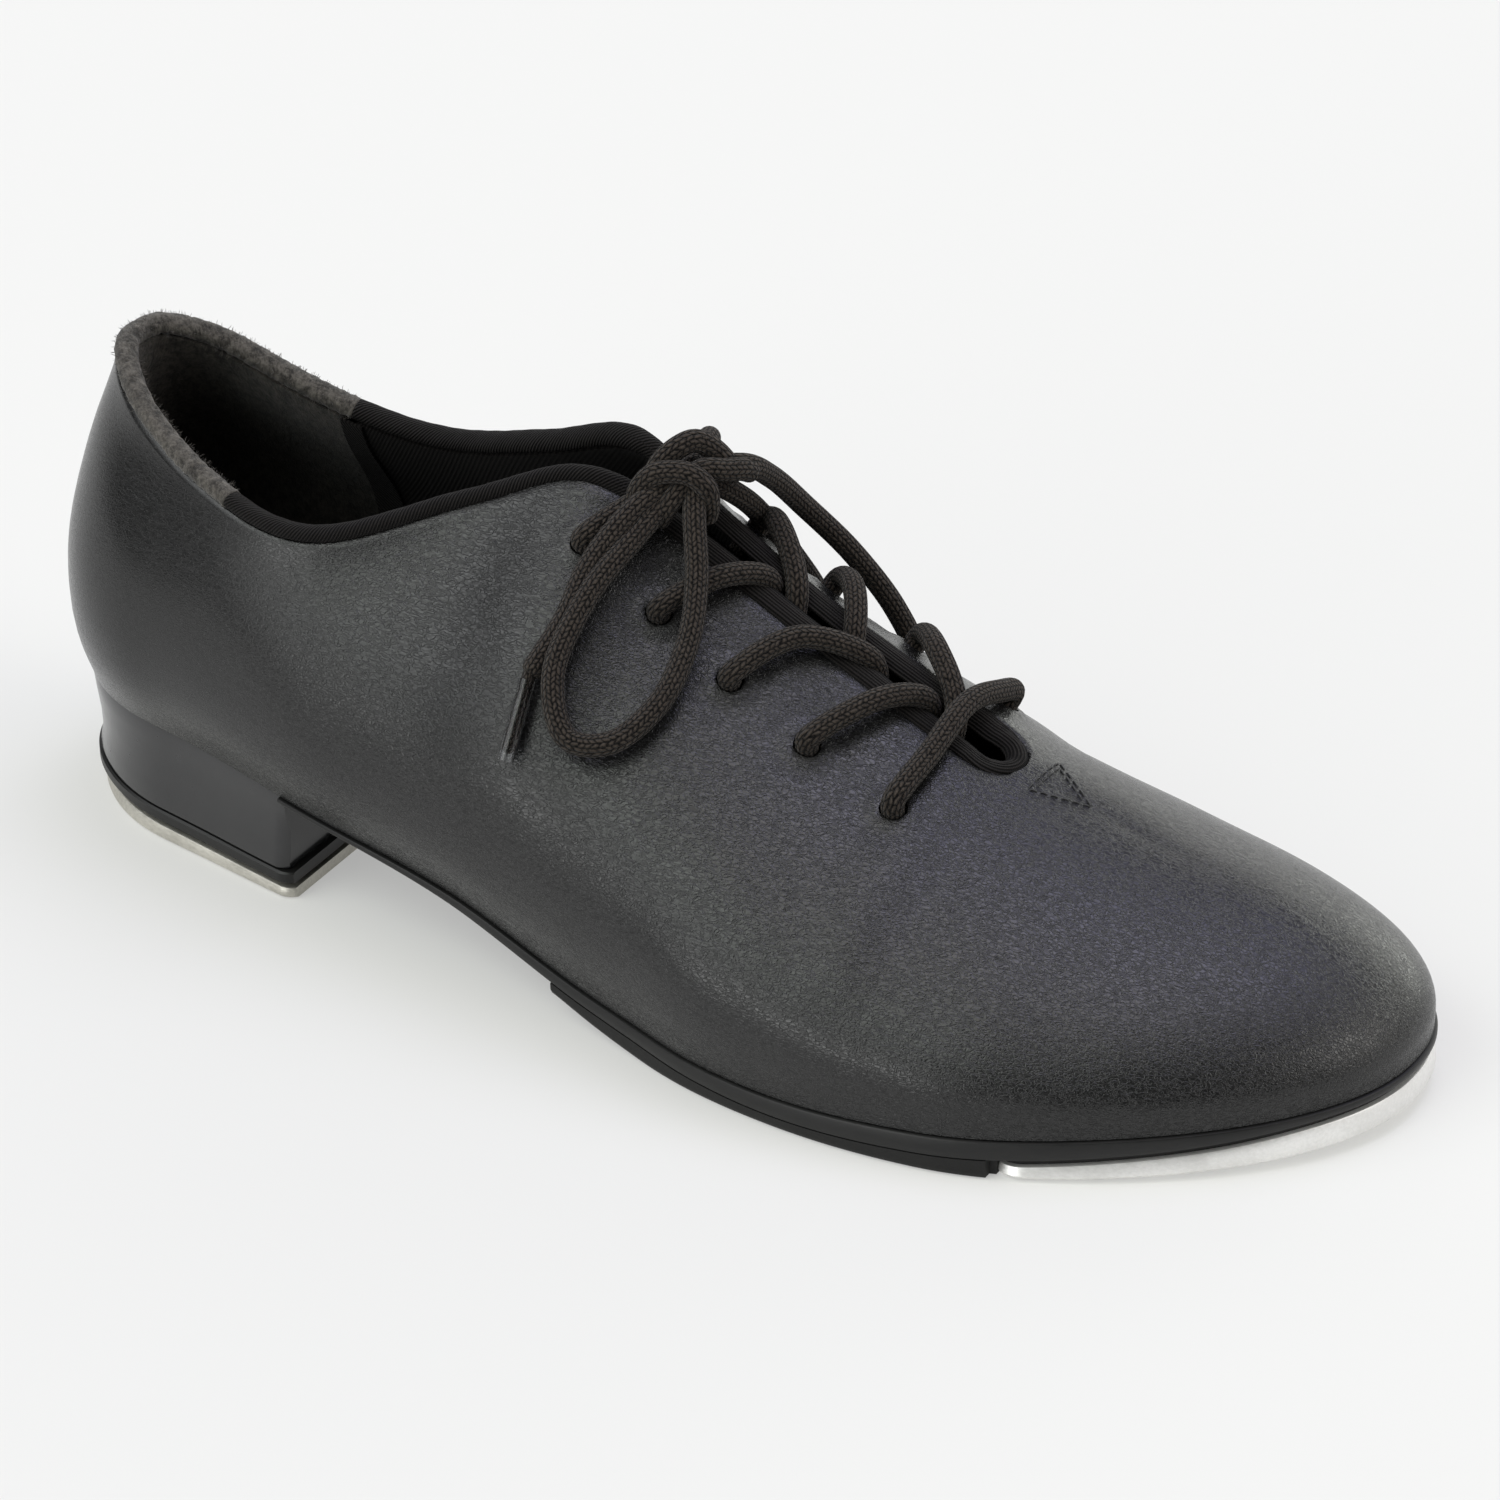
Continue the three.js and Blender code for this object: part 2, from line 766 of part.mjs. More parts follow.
// Top-rail stations of the loft's columns: closest at the quarter corner and the throat base.
const sideStations = [
  ...[62, 75, 88, 98, 106, 113, 119, 126, 136, 150, 164, 178, 190],
  ...[THROAT_BASE - 5, THROAT_BASE - 2, THROAT_BASE - 0.4],
]
  .map(loftAtTop)
  .concat(throatU);
const toeStations = steps(throatU, 1, 8).slice(1);
const heelStations = steps(0, seamU, 5);
const fullHeight = [0, 0.1, 0.2, 0.4, 0.6, 0.78, 0.93, 1];
const liningHeight = [0.02, 0.1, 0.2, 0.4, 0.6, 0.78, 1];

const around = [...heelStations, ...sideStations, ...toeStations];
const ring = [
  ...around.map((u) => ({ u, side: OUTER })),
  ...around
    .slice(1, -1)
    .reverse()
    .map((u) => ({ u, side: INNER })),
];
addCreased("upper", punched(layer(ring, fullHeight, LEATHER, true)), "leather");

add("heel_lining", layer(roundHeel(heelStations), liningHeight, LINING), "felt");
const liningStart = loftAtTop(SEAM_STATION + 1);
const liningStations = [liningStart, ...sideStations, ...toeStations];
addCreased("lining", punched(layer(roundToe(liningStations), liningHeight, LINING)), "twill");

const counterStations = [...heelStations, ...sideStations.slice(0, 1)];
add("heel_counter", layer(roundHeel(counterStations), fullHeight.slice(1, 6), STIFFENER), "stiffener");
add("toe_puff", layer(roundToe(toeStations.slice(1)), fullHeight.slice(1), STIFFENER), "stiffener");
for (const [name, side] of [
  ["eyelet_stay_outer", OUTER],
  ["eyelet_stay_inner", INNER],
]) {
  const columns = sideStations.slice(5, -4).map((u) => ({ u, side }));
  if (side === INNER) columns.reverse();
  add(name, punched(layer(columns, [0.6, 0.78, 0.93], STIFFENER)), "stiffener");
}

// ---------------------------------------------------------------- edge tape along the top rail
/** Rolled tape along the top rail: an oval bead beyond the edge of the leather. */
function edgeBead(columns, size) {
  const sides = 8;
  const rings = columns.map(({ u, side }) => {
    const before = wrapped(u - 0.004, side, 1);
    const after = wrapped(u + 0.004, side, 1);
    const out = normal(u, side, 0.985);
    const tip = curve(TOP_STATION, station(u)) > THROAT_BASE - 0.2;
    const along = tip ? new THREE.Vector3(0, -side, 0) : after.sub(before).normalize();
    const beyond = along.clone().cross(out).multiplyScalar(side).normalize();
    const { reach, thick, dip } = size(curve(TOP_STATION, station(u)));
    const middle = surface(u, side, 1)
      .addScaledVector(beyond, GAP + reach)
      .addScaledVector(out, 0.7 - thick - dip);
    return steps(0, sides - 1, sides - 1).map((k) => {
      const angle = (2 * Math.PI * k) / sides;
      return middle
        .clone()
        .addScaledVector(beyond, reach * Math.cos(angle))
        .addScaledVector(out, thick * Math.sin(angle));
    });
  });
  const quads = [];
  const centre = (points) =>
    points.reduce((sum, p) => sum.add(p), new THREE.Vector3()).multiplyScalar(1 / sides);
  for (let k = 0; k < sides; k++) {
    const next = (k + 1) % sides;
    for (let i = 0; i < rings.length - 1; i++) {
      quads.push([rings[i][k], rings[i][next], rings[i + 1][next], rings[i + 1][k]]);
    }
    const first = rings[0];
    const last = rings[rings.length - 1];
    quads.push([first[next], first[k], centre(first), centre(first)]);
    quads.push([last[k], last[next], centre(last), centre(last)]);
  }
  return closedSolid(quads);
}

const collarTape = { reach: 1.7, thick: 2.3, dip: 0 };
const throatTape = { reach: 2.1, thick: 1.3, dip: 0.4 };

function tapeSize(x) {
  const t = Math.min(Math.max((x - 116) / 20, 0), 1);
  const mix = (key) => collarTape[key] * (1 - t) + throatTape[key] * t;
  return { reach: mix("reach"), thick: mix("thick"), dip: mix("dip") };
}

const tapeStations = [loftAtTop(SEAM_STATION + 0.6), ...sideStations.slice(0, -1)];
const tapeColumns = [
  ...tapeStations.map((u) => ({ u, side: OUTER })),
  ...tapeStations.reverse().map((u) => ({ u, side: INNER })),
];
add("topline_tape", pressed(edgeBead(tapeColumns, tapeSize)), "tape");
add("heel_edge_strip", edgeBead(roundHeel(heelStations), () => ({ reach: 1.9, thick: 2.5, dip: 0 })), "felt");

// ---------------------------------------------------------------- tongue
const TONGUE = { from: 112, to: 203, half: 17, thickness: 1.8 };
const TONGUE_DEPTH = [
  [112, 11],
  [150, 11],
  [190, 10],
  [203, 5],
]; // below the top rail at the middle
const TONGUE_FALL = [
  [112, 0.05],
  [150, 0.04],
  [203, 0.018],
]; // extra depth per square millimetre off the middle

function tongueRow(x, under) {
  return steps(-TONGUE.half, TONGUE.half, 6).map((y) =>
    throatPoint(x, y, -curve(TONGUE_DEPTH, x) - curve(TONGUE_FALL, x) * y ** 2 - under),
  );
}

function tongue() {
  const rows = steps(TONGUE.from, TONGUE.to, 9).map((x) => [
    tongueRow(x, 0),
    tongueRow(x, TONGUE.thickness),
  ]);
  const quads = [];
  const wide = rows[0][0].length - 1;
  for (let i = 0; i < rows.length - 1; i++) {
    const [a, b] = [rows[i], rows[i + 1]];
    for (let k = 0; k < wide; k++) {
      quads.push([a[0][k], b[0][k], b[0][k + 1], a[0][k + 1]]);
      quads.push([a[1][k], a[1][k + 1], b[1][k + 1], b[1][k]]);
    }
    quads.push([a[1][0], b[1][0], b[0][0], a[0][0]]);
    quads.push([a[0][wide], b[0][wide], b[1][wide], a[1][wide]]);
  }
  const [first, last] = [rows[0], rows[rows.length - 1]];
  for (let k = 0; k < wide; k++) {
    quads.push([first[0][k], first[0][k + 1], first[1][k + 1], first[1][k]]);
    quads.push([last[1][k], last[1][k + 1], last[0][k + 1], last[0][k]]);
  }
  return closedSolid(quads);
}
add("tongue", pressed(tongue()), "tape");

// ---------------------------------------------------------------- sole stack
const soleStations = steps(0, 1, 26);
const between = (from, to, count) => steps(loftAt(from), loftAt(to), count);

const insole = slab(soleStations, [
  level(4.4, raised(SHANK.thickness + 2 * GAP)),
  level(4.4, raised(SHANK.thickness + 2 * GAP + INSOLE)),
]);
addSplit("insole_board", insole, "board");
const sockBottom = SHANK.thickness + 3 * GAP + INSOLE;
const sock = slab(soleStations, [level(5, raised(sockBottom)), level(5, raised(sockBottom + SOCK))]);
addSplit("sock_lining", sock, "twill");

function stripLevel(width, z) {
  return (u, side) => {
    const x = station(u);
    return new THREE.Vector3(x, curve(CENTRE_LINE, x) + (side * width) / 2, z(x));
  };
}
add(
  "shank",
  slab(between(SHANK.from, SHANK.to, 8), [
    stripLevel(SHANK.width, raised(GAP)),
    stripLevel(SHANK.width, raised(GAP + SHANK.thickness)),
  ]),
  "steel",
);

const outsoleTop = raised(-GAP);
const outsoleBottom = (x) => feather(x) - GAP - curve(OUTSOLE, x);
const underOutsole = (x) => outsoleBottom(x) - GAP;
const seatInset = 5;
const walk = slab(between(BREAST + 0.6, SOLE_LENGTH, 22), [
  level(-SOLE_EDGE, outsoleBottom),
  level(-SOLE_EDGE, outsoleTop),
]);
const seat = slab(between(8, BREAST + 8, 8), [
  level(seatInset, outsoleBottom),
  level(seatInset, outsoleTop),
]);
const seatRoom = slab(between(4, BREAST + 8, 8), [
  level(seatInset - 0.6, underOutsole),
  level(seatInset - 0.6, raised(3)),
]);
const outsole = wasm.Manifold.union([walk, seat]);

const pad = slab(between(PAD.from, PAD.to, 10), [
  level(-0.2, (x) => Math.max(curve(PAD_BOTTOM, x), 0)),
  level(-SOLE_EDGE, underOutsole),
]);
addSplit("forefoot_pad", pad, "rubber");

const tapStations = [
  ...between(TOE_TAP_START, TOE_TAP_START + TAP_CORNER, 4),
  ...between(TOE_TAP_START + TAP_CORNER, SOLE_LENGTH, 12).slice(1),
];
const tapBottom = (x) => Math.max(curve(TOE_SPRING, x), 0);
const tapTop = (x) => underOutsole(x) - PACKING - GAP;

/** Level of the toe tap, whose back corners are rounded. */
function tapLevel(inset, z) {
  return (u, side) => {
    const round = corner(station(u) + 0.6 - TOE_TAP_START, TAP_CORNER);
    return level(inset + round, z)(u, side);
  };
}

const toeTap = slab(tapStations, [
  tapLevel(0.5, tapBottom),
  tapLevel(-SOLE_EDGE, (x) => tapBottom(x) + 1),
  tapLevel(0.2, tapTop),
]);
const toeBoard = slab(tapStations, [
  tapLevel(0.9, (x) => tapTop(x) + GAP),
  tapLevel(0.6, underOutsole),
]);

const fromCentre = (x, y) => curve(CENTRE_LINE, x) + y;
const toeScrews = [
  [238, -27],
  [238, 27],
  [268, 3],
].map(([x, y]) => ({ x, y: fromCentre(x, y), z: tapBottom(x), top: feather(x) - 1 }));
const heelScrews = [
  [16, 0],
  [50, -16],
  [50, 16],
].map(([x, y]) => ({ x, y: fromCentre(x, y), z: 0, top: 16 }));

/** Countersunk wood screw, head down, as a turned profile. */
function screw({ x, y, z, top }, grow = 0) {
  const head = 3.6 + grow;
  const neck = 1.6 + grow;
  const low = z + 0.3 - 4 * grow;
  const profile = [
    [0, low],
    [head, low],
    [head, z + 0.7],
    [neck, z + 2.6],
    [neck, top - 2 + grow],
    [0, top + grow],
  ].map(([r, h]) => new THREE.Vector2(r, h));
  const turned = new THREE.LatheGeometry(profile, 10);
  turned.rotateX(Math.PI / 2);
  turned.translate(x, y, 0);
  return solid(turned);
}

function drilled(made, screws) {
  return largest(made.subtract(wasm.Manifold.union(screws.map((s) => screw(s, 0.3)))));
}

const nails = [
  [27, 0],
  [34, -15],
  [34, 15],
  [56, -8],
  [56, 8],
].map(([x, y]) => new THREE.Vector3(x, fromCentre(x, y), feather(x) + SHANK.thickness));
const nailBar = (top, radius) =>
  cylinder(radius, new THREE.Vector3(top.x, top.y, 12), top.clone(), 8);
const nailRoom = wasm.Manifold.union(nails.map((top) => nailBar(top, 1.5)));

addSplit("outsole", drilled(outsole.subtract(nailRoom), toeScrews), "rubber");
add("toe_tap_board", drilled(toeBoard, toeScrews), "rubber");
add("toe_tap", drilled(toeTap, toeScrews), "aluminium");
toeScrews.forEach((s, i) => add("toe_tap_screw_" + (i + 1), screw(s), "steel"));

// ---------------------------------------------------------------- heel
/** Stations of a heel piece, closer together at its front corners. */
function heelRange(end) {
  return [
    ...between(0, end - HEEL_CORNER, 11),
    ...between(end - HEEL_CORNER, end, 4).slice(1),
  ];
}

const liftBottom = (x) => curve(LIFT_BOTTOM, x);
const liftTop = (x) => liftBottom(x) + LIFT.thickness;
const blockBottom = (x) => liftTop(x) + GAP;
const plain = (by) => () => by;
const block = slab(heelRange(BREAST), [
  heelLevel(plain(0.2), blockBottom),
  level(0.5, (x) => blockBottom(x) + 0.5 * (feather(x) - blockBottom(x))),
  level(0.1, raised(-GAP)),
]).subtract(seatRoom);
const lift = slab(heelRange(BREAST + 1.4), [
  heelLevel(plain(-LIFT.proud), liftBottom, BREAST + 1.4),
  heelLevel(plain(-LIFT.proud), liftTop, BREAST + 1.4),
]);
const tapInset = (by) => (x) => curve(HEEL_TAP_INSET, x) + by;
const heelTapTop = (x) => liftBottom(x) - 2 * GAP - HEEL_BOARD;
const heelBoard = slab(heelRange(BREAST), [
  heelLevel(tapInset(1), (x) => heelTapTop(x) + GAP),
  heelLevel(tapInset(1), (x) => liftBottom(x) - GAP),
]);
const heelTap = slab(heelRange(BREAST + 1.4), [
  heelLevel(tapInset(0.2), plain(0), BREAST + 1.4),
  heelLevel(tapInset(-0.5), plain(0.8), BREAST + 1.4),
  heelLevel(tapInset(0), heelTapTop, BREAST + 1.4),
]);

add("heel_block", drilled(block.subtract(nailRoom), heelScrews), "heel");
add("heel_top_lift", drilled(lift, heelScrews), "rubber");
add("heel_tap_board", drilled(heelBoard, heelScrews), "board");
add("heel_tap", drilled(heelTap, heelScrews), "aluminium");
heelScrews.forEach((s, i) => add("heel_tap_screw_" + (i + 1), screw(s), "steel"));
nails.forEach((top, i) => add("heel_nail_" + (i + 1), nailBar(top, 1.2), "steel"));

// ---------------------------------------------------------------- knot, bow and lace ends
add("lace", lace, "cotton");

const bowRoom = wasm.Manifold.union([knotBody(0.4), laceRoom]);
const at = (x, y, z) => new THREE.Vector3(x, y, z);

const loopOuter = [
  KNOT,
  at(130, -8, 86),
  at(127, -22, 78),
  at(127, -34, 67),
  at(133, -39, 58.5),
  at(140, -36, 58),
  at(145, -27, 63),
  at(145, -16, 71),
  at(142, -8, 79),
  at(138, -2, 88),
  at(134, 5, 95),
];
const loopInner = [
  KNOT,
  at(139.4, 12, 93),
  at(140, 22, 86),
  at(142, 31, 76),
  at(149, 37, 65),
  at(156, 41, 53),
  at(158, 43.5, 44),
  at(150, 45, 40),
  at(142, 43, 46),
  at(138.5, 37, 58),
  at(137, 28, 71),
  at(137, 18, 82),
  at(134, 8, 91),
];
const endOuter = [
  KNOT,
  at(128.5, -6, 90),
  at(124.5, -17, 81.5),
  at(124.5, -25.5, 74.5),
  at(122, -34.5, 66),
];
const endInner = [
  KNOT,
  onLeather(loftAtTop(124), INNER, 1, 7),
  onLeather(loftAtTop(119), INNER, 0.85, 5),
  onLeather(loftAtTop(116), INNER, 0.7, 4),
  onLeather(loftAtTop(114), INNER, 0.57, 3.2),
];
const tipOuter = at(122.5, -43.8, 53);
const tipInner = onLeather(loftAtTop(113), INNER, 0.4, 3);

function freeLace(points, ...others) {
  const room = wasm.Manifold.union([bowRoom, ...others.map((o) => bar(o, LACE + 0.4, 6, 5))]);
  return largest(bar(points, LACE, 6, 5).subtract(room));
}

function aglet(points, tip) {
  const start = points[points.length - 1];
  const along = tip.clone().sub(start).normalize();
  return cylinder(1.7, start.clone().addScaledVector(along, 1), tip, 8);
}
add("lace_loop_outer", freeLace(loopOuter), "cotton");
add("lace_loop_inner", freeLace(loopInner), "cotton");
add("lace_end_outer", freeLace(endOuter, loopOuter), "cotton");
add("lace_end_inner", freeLace(endInner, loopInner), "cotton");
add("aglet_outer", aglet(endOuter, tipOuter), "plastic");
add("aglet_inner", aglet(endInner, tipInner), "plastic");

export default shoe;
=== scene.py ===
"""Looks of the lace-up tap shoe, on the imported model's frame.

The shoe's surfaces are worked out in millimetres in its own frame, X from the heel back to the
toe, +Y the inner side, +Z up, and moved to the row frame in metres when a mesh is made.
"""

import math

import bmesh
import bpy
import numpy as np
from mathutils import Matrix, Vector


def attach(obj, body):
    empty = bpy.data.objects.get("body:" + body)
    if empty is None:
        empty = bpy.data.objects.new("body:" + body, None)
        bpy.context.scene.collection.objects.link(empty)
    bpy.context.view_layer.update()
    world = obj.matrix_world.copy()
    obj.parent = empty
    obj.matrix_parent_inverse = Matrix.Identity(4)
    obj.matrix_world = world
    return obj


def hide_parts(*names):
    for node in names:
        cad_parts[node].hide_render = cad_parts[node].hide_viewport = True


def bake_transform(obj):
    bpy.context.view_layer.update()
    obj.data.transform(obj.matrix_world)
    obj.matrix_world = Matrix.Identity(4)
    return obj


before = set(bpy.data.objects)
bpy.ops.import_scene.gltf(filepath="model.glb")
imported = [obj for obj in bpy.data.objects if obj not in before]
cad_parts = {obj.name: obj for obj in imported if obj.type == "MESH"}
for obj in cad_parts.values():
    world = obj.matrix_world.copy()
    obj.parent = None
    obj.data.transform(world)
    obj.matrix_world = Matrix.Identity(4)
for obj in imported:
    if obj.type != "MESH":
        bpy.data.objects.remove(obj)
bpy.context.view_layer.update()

random = np.random.default_rng(7)

# ---------------------------------------------------------------- dimensions, as in the CAD
SOLE_LENGTH = 283.0
ORIGIN = np.array([140.6, -3.1, 0.0])
OUTER, INNER = -1.0, 1.0
HALF_WIDTH = [
    (0, 26.6), (35, 28.6), (70, 32.9), (110, 35.5), (150, 42.6), (165, 46.6), (185, 49.4),
    (215, 49.8), (250, 46), (283, 42.5),
]
CENTRE_LINE = [(0, 2.7), (80, -2.5), (140, -4.7), (200, -4), (283, 9.3)]
INNER_WAIST = [(0, 0), (60, 0), (110, -4.5), (150, -3), (190, 0), (283, 0)]
FEATHER_HEIGHT = [
    (0, 25), (40, 24.4), (75, 21), (105, 16.6), (140, 8.6), (175, 6.4), (215, 7.8), (250, 9.6),
    (283, 11.3),
]
HEEL_ROUND, TOE_ROUND, ROUND_POWER = 32.3, 71.3, 2.15
BULGE_BACK = 2.4
BULGE = [(0, 4.1), (60, 5.3), (110, 5.5), (150, 3.6), (200, 0.4), (250, 0.2), (283, 0.6)]
BULGE_HEIGHT = [(0, 44.5), (60, 41.5), (110, 35), (150, 26), (200, 16.5), (250, 14), (283, 14.5)]
TOP_STATION = [(0, 7.5), (30, 35), (60, 56), (180, 179), (230, 228), (283, 253)]
OPENING_START = 7.5
THROAT_BASE = 201.7
VAMP_START = 184.0  # from here to the throat base the side turns into the vamp's one surface
TOP_HALF_GAP = [
    (7.5, 12.7), (40, 21.5), (70, 24), (95, 15), (110, 11.3), (120, 9.6), (130, 8), (150, 6.8),
    (196, 7.6),
]
TOP_CENTRE = [(9, 2.4), (60, -3.2), (110, 7.5), (160, 8.3), (200, 9.3), (250, 9.4)]
TOP_HEIGHT = [
    (9, 90.3), (40, 79.2), (70, 75.2), (95, 83.2), (115, 89.6), (135, 79.4), (165, 64),
    (196, 50.2), (225, 41.3), (250, 36), (262, 33),
]
TOP_SLOPE = [(9, 74), (60, 70), (100, 48), (130, 36), (160, 28), (190, 14), (203, 0), (250, 0)]
TUCK = 0.2  # share of a side's height that lies below the bulge rail
GAP = 0.3  # air between the layers of the sole
LEATHER_DEPTH = (0, 1.4)
LINING_DEPTH = (2.8, 3.6)
SEAM_STATION = 49.0  # where felt and twill meet on the top rail
SOLE_EDGE = 0.6  # how far the sole's edge stands out past the feather line
OUTSOLE = [(0, 1.3), (90, 1.4), (115, 2.2), (140, 2.7), (262, 2.6), (276, 1.6), (283, 1.5)]
BREAST = 64.8  # station of the heel's front face
PACKING = 0.9
TOE_TAP_START = 228.0
TAP_CORNER = 5.0
LIFT_BOTTOM = [(0, 5), (66.5, 3.4)]
LIFT = 2.4
HEEL_FLARE = [(0, 0.9), (12, 0.2), (28, -0.9), (50, -1), (66.5, -0.8)]
HEEL_CORNER = 3.5
HEEL_BOARD = 0.5
HEEL_TAP_INSET = [(0, 1.7), (20, 0.4), (66.5, 0.1)]
TOE_SPRING = [(0, 0), (228, 0), (245, 0.4), (265, 1.3), (283, 2.4)]
PAD_START, PAD_END = 131, 226.2
PAD_BOTTOM = [(131, 4.9), (142, 2), (154, 0.2), (165, 0), (228, 0)]
LACE = 2.2  # radius of the lace
EYELET = 2.7  # radius of the holes
# Station on the top rail and share of the height of each hole, from the throat to the ankle.
EYELETS = [(188, 0.8), (169, 0.81), (151.5, 0.82), (135, 0.84), (118.5, 0.87)]
CROSSINGS = [184, 167.5, 150.5]
KNOT = np.array([133.0, 5.0, 93.0])


def to_row(points):
    return (np.asarray(points, float) - ORIGIN) / 1000


# ---------------------------------------------------------------- the shoe's surface
def hermite(s, start, end, leaving, arriving):
    """Cubic between two values with a slope at each, for s from 0 to 1."""
    return (
        (2 * s**3 - 3 * s**2 + 1) * start
        + (s**3 - 2 * s**2 + s) * leaving
        + (3 * s**2 - 2 * s**3) * end
        + (s**3 - s**2) * arriving
    )


def curve(table, at):
    """Smooth curve through a table's rows, held constant beyond its ends."""
    x, y = np.array(table, float).T
    h = np.diff(x)
    rise = np.diff(y) / h
    inner = (rise[:-1] * h[1:] + rise[1:] * h[:-1]) / (h[1:] + h[:-1])
    slope = np.concatenate([rise[:1], inner, rise[-1:]])
    at = np.clip(at, x[0], x[-1])
    i = np.clip(np.searchsorted(x, at, side="right") - 1, 0, len(h) - 1)
    return hermite((at - x[i]) / h[i], y[i], y[i + 1], h[i] * slope[i], h[i] * slope[i + 1])


def rounding(inside, length, power):
    """Factor that rises from 0 at an end to 1 at a length inside it, along a rounded corner."""
    t = np.clip(1 - inside / length, 0, 1)
    return (1 - t**power) ** (1 / power)


def end_rounding(x):
    heel = rounding(x, HEEL_ROUND, ROUND_POWER)
    return heel * rounding(SOLE_LENGTH - x, TOE_ROUND, ROUND_POWER)


def half_width(x, side):
    waist = np.where(side > 0, curve(INNER_WAIST, x), 0)
    return (curve(HALF_WIDTH, x) + waist) * end_rounding(x)


def station(u):
    """X of the loft parameter u, which is spaced closer at both ends."""
    return SOLE_LENGTH * (1 - np.cos(math.pi * u)) / 2


def loft_at(x):
    return np.arccos(1 - 2 * np.clip(x, 0, SOLE_LENGTH) / SOLE_LENGTH) / math.pi


def loft_at_top(x):
    """Loft parameters whose top-rail points are at stations x."""
    u = np.linspace(0, 1, 20001)
    return np.interp(x, curve(TOP_STATION, station(u)), u)


def unit(v):
    return v / np.maximum(np.linalg.norm(v, axis=-1, keepdims=True), 1e-12)


def xyz(x, y, z):
    return np.stack(np.broadcast_arrays(x, y, z), -1).astype(float)


def bezier(p0, p1, p2, p3, t):
    s = 1 - t
    return s**3 * p0 + 3 * s**2 * t * p1 + 3 * s * t**2 * p2 + t**3 * p3


def throat_half(tx):
    """Half the width of the opening at station tx of the top rail."""
    wide = rounding(tx - OPENING_START, 18, 2.2) * rounding(THROAT_BASE - tx, 8.4, 2)
    return np.where(tx < THROAT_BASE, wide, 0) * curve(TOP_HALF_GAP, tx)


def rails(u, side):
    """Feather line, bulge line and top-rail station at u: the three lines that a side is drawn through."""
    x = station(u)
    feather = xyz(x, curve(CENTRE_LINE, x) + side * half_width(x, side), curve(FEATHER_HEIGHT, x))
    swell = curve(BULGE, x) * end_rounding(x)
    bulge = xyz(
        x * (SOLE_LENGTH + BULGE_BACK) / SOLE_LENGTH - BULGE_BACK,
        feather[..., 1] + side * swell,
        curve(BULGE_HEIGHT, x),
    )
    return feather, bulge, curve(TOP_STATION, x)


def side_curve(bulge, top, slope, t):
    """Curve from the bulge rail up to a top point, reached at a slope in radians."""
    inward = unit((top - bulge) * [1, 1, 0])
    direction = inward * np.cos(slope)[..., None] + xyz(0, 0, np.sin(slope))
    low = bulge + xyz(0, 0, 0.48 * (top[..., 2] - bulge[..., 2]))
    high = top - direction * 0.3 * np.linalg.norm(top - bulge, axis=-1, keepdims=True)
    return bezier(bulge, low, high, top, t[..., None])


def to_edge(bulge, tx, side, t):
    """Side of the shoe that ends at the edge of the opening."""
    top = xyz(tx, curve(TOP_CENTRE, tx) + side * throat_half(tx), curve(TOP_HEIGHT, tx))
    return side_curve(bulge, top, np.radians(curve(TOP_SLOPE, tx)), t)


def to_ridge(bulge, tx, t):
    """The same side carried on over the instep to the middle, as the vamp is."""
    lift = 0.5 * curve(TOP_HALF_GAP, tx) * np.tan(np.radians(curve(TOP_SLOPE, tx)))
    top = xyz(tx, curve(TOP_CENTRE, tx), curve(TOP_HEIGHT, tx) + lift)
    inward = unit((top - bulge) * [1, 1, 0])
    fall = (curve(TOP_HEIGHT, tx + 0.5) - curve(TOP_HEIGHT, tx - 0.5)) * inward[..., 0]
    slope = np.radians(curve(TOP_SLOPE, np.maximum(tx, THROAT_BASE))) + np.arctan(fall)
    return side_curve(bulge, top, slope, t)


def cut_at_edge(bulge, tx, side, t):
    """Points of the vamp's surface, stopped where the opening's edge crosses it."""
    low, high = np.full(tx.shape, 0.2), np.ones(tx.shape)
    wanted = throat_half(tx)
    for _ in range(24):
        middle = (low + high) / 2
        p = to_ridge(bulge, tx, middle)
        outside = side * (p[..., 1] - curve(TOP_CENTRE, p[..., 0])) > wanted
        low, high = np.where(outside, middle, low), np.where(outside, high, middle)
    return to_ridge(bulge, tx, t * high)


def surface(u, side, v):
    """Points of the leather's outer face: v is 0 at the feather line and 1 at the top rail.

    u runs from 0 at the heel to 1 at the toe, and side is OUTER or INNER.
    """
    u, side, v = [np.array(a, float) for a in np.broadcast_arrays(u, side, v)]
    shape = u.shape
    u, side, v = u.ravel(), side.ravel(), v.ravel()
    feather, bulge, tx = rails(u, side)
    rise = bulge[..., 2] - feather[..., 2]
    low = feather + 0.35 * (bulge - feather) * [1, 1, 0] + xyz(0, 0, 0.25 * rise)
    high = bulge - xyz(0, 0, 0.5 * rise)
    made = bezier(feather, low, high, bulge, np.clip(v / TUCK, 0, 1)[..., None])
    t = np.clip((v - TUCK) / (1 - TUCK), 0, 1)
    share = np.clip((tx - VAMP_START) / (THROAT_BASE - 2.5 - VAMP_START), 0, 1)
    share = (share * share * (3 - 2 * share))[..., None]
    above = np.zeros_like(made)
    side_part, vamp = tx < THROAT_BASE, tx >= THROAT_BASE
    mixed = side_part & (tx > VAMP_START)
    above[side_part] = to_edge(bulge[side_part], tx[side_part], side[side_part], t[side_part])
    above[vamp] = to_ridge(bulge[vamp], tx[vamp], t[vamp])
    if mixed.any():
        cut = cut_at_edge(bulge[mixed], tx[mixed], side[mixed], t[mixed])
        above[mixed] = above[mixed] * (1 - share[mixed]) + cut * share[mixed]
    made = np.where((v < TUCK)[..., None], made, above)
    return made.reshape(shape + (3,))


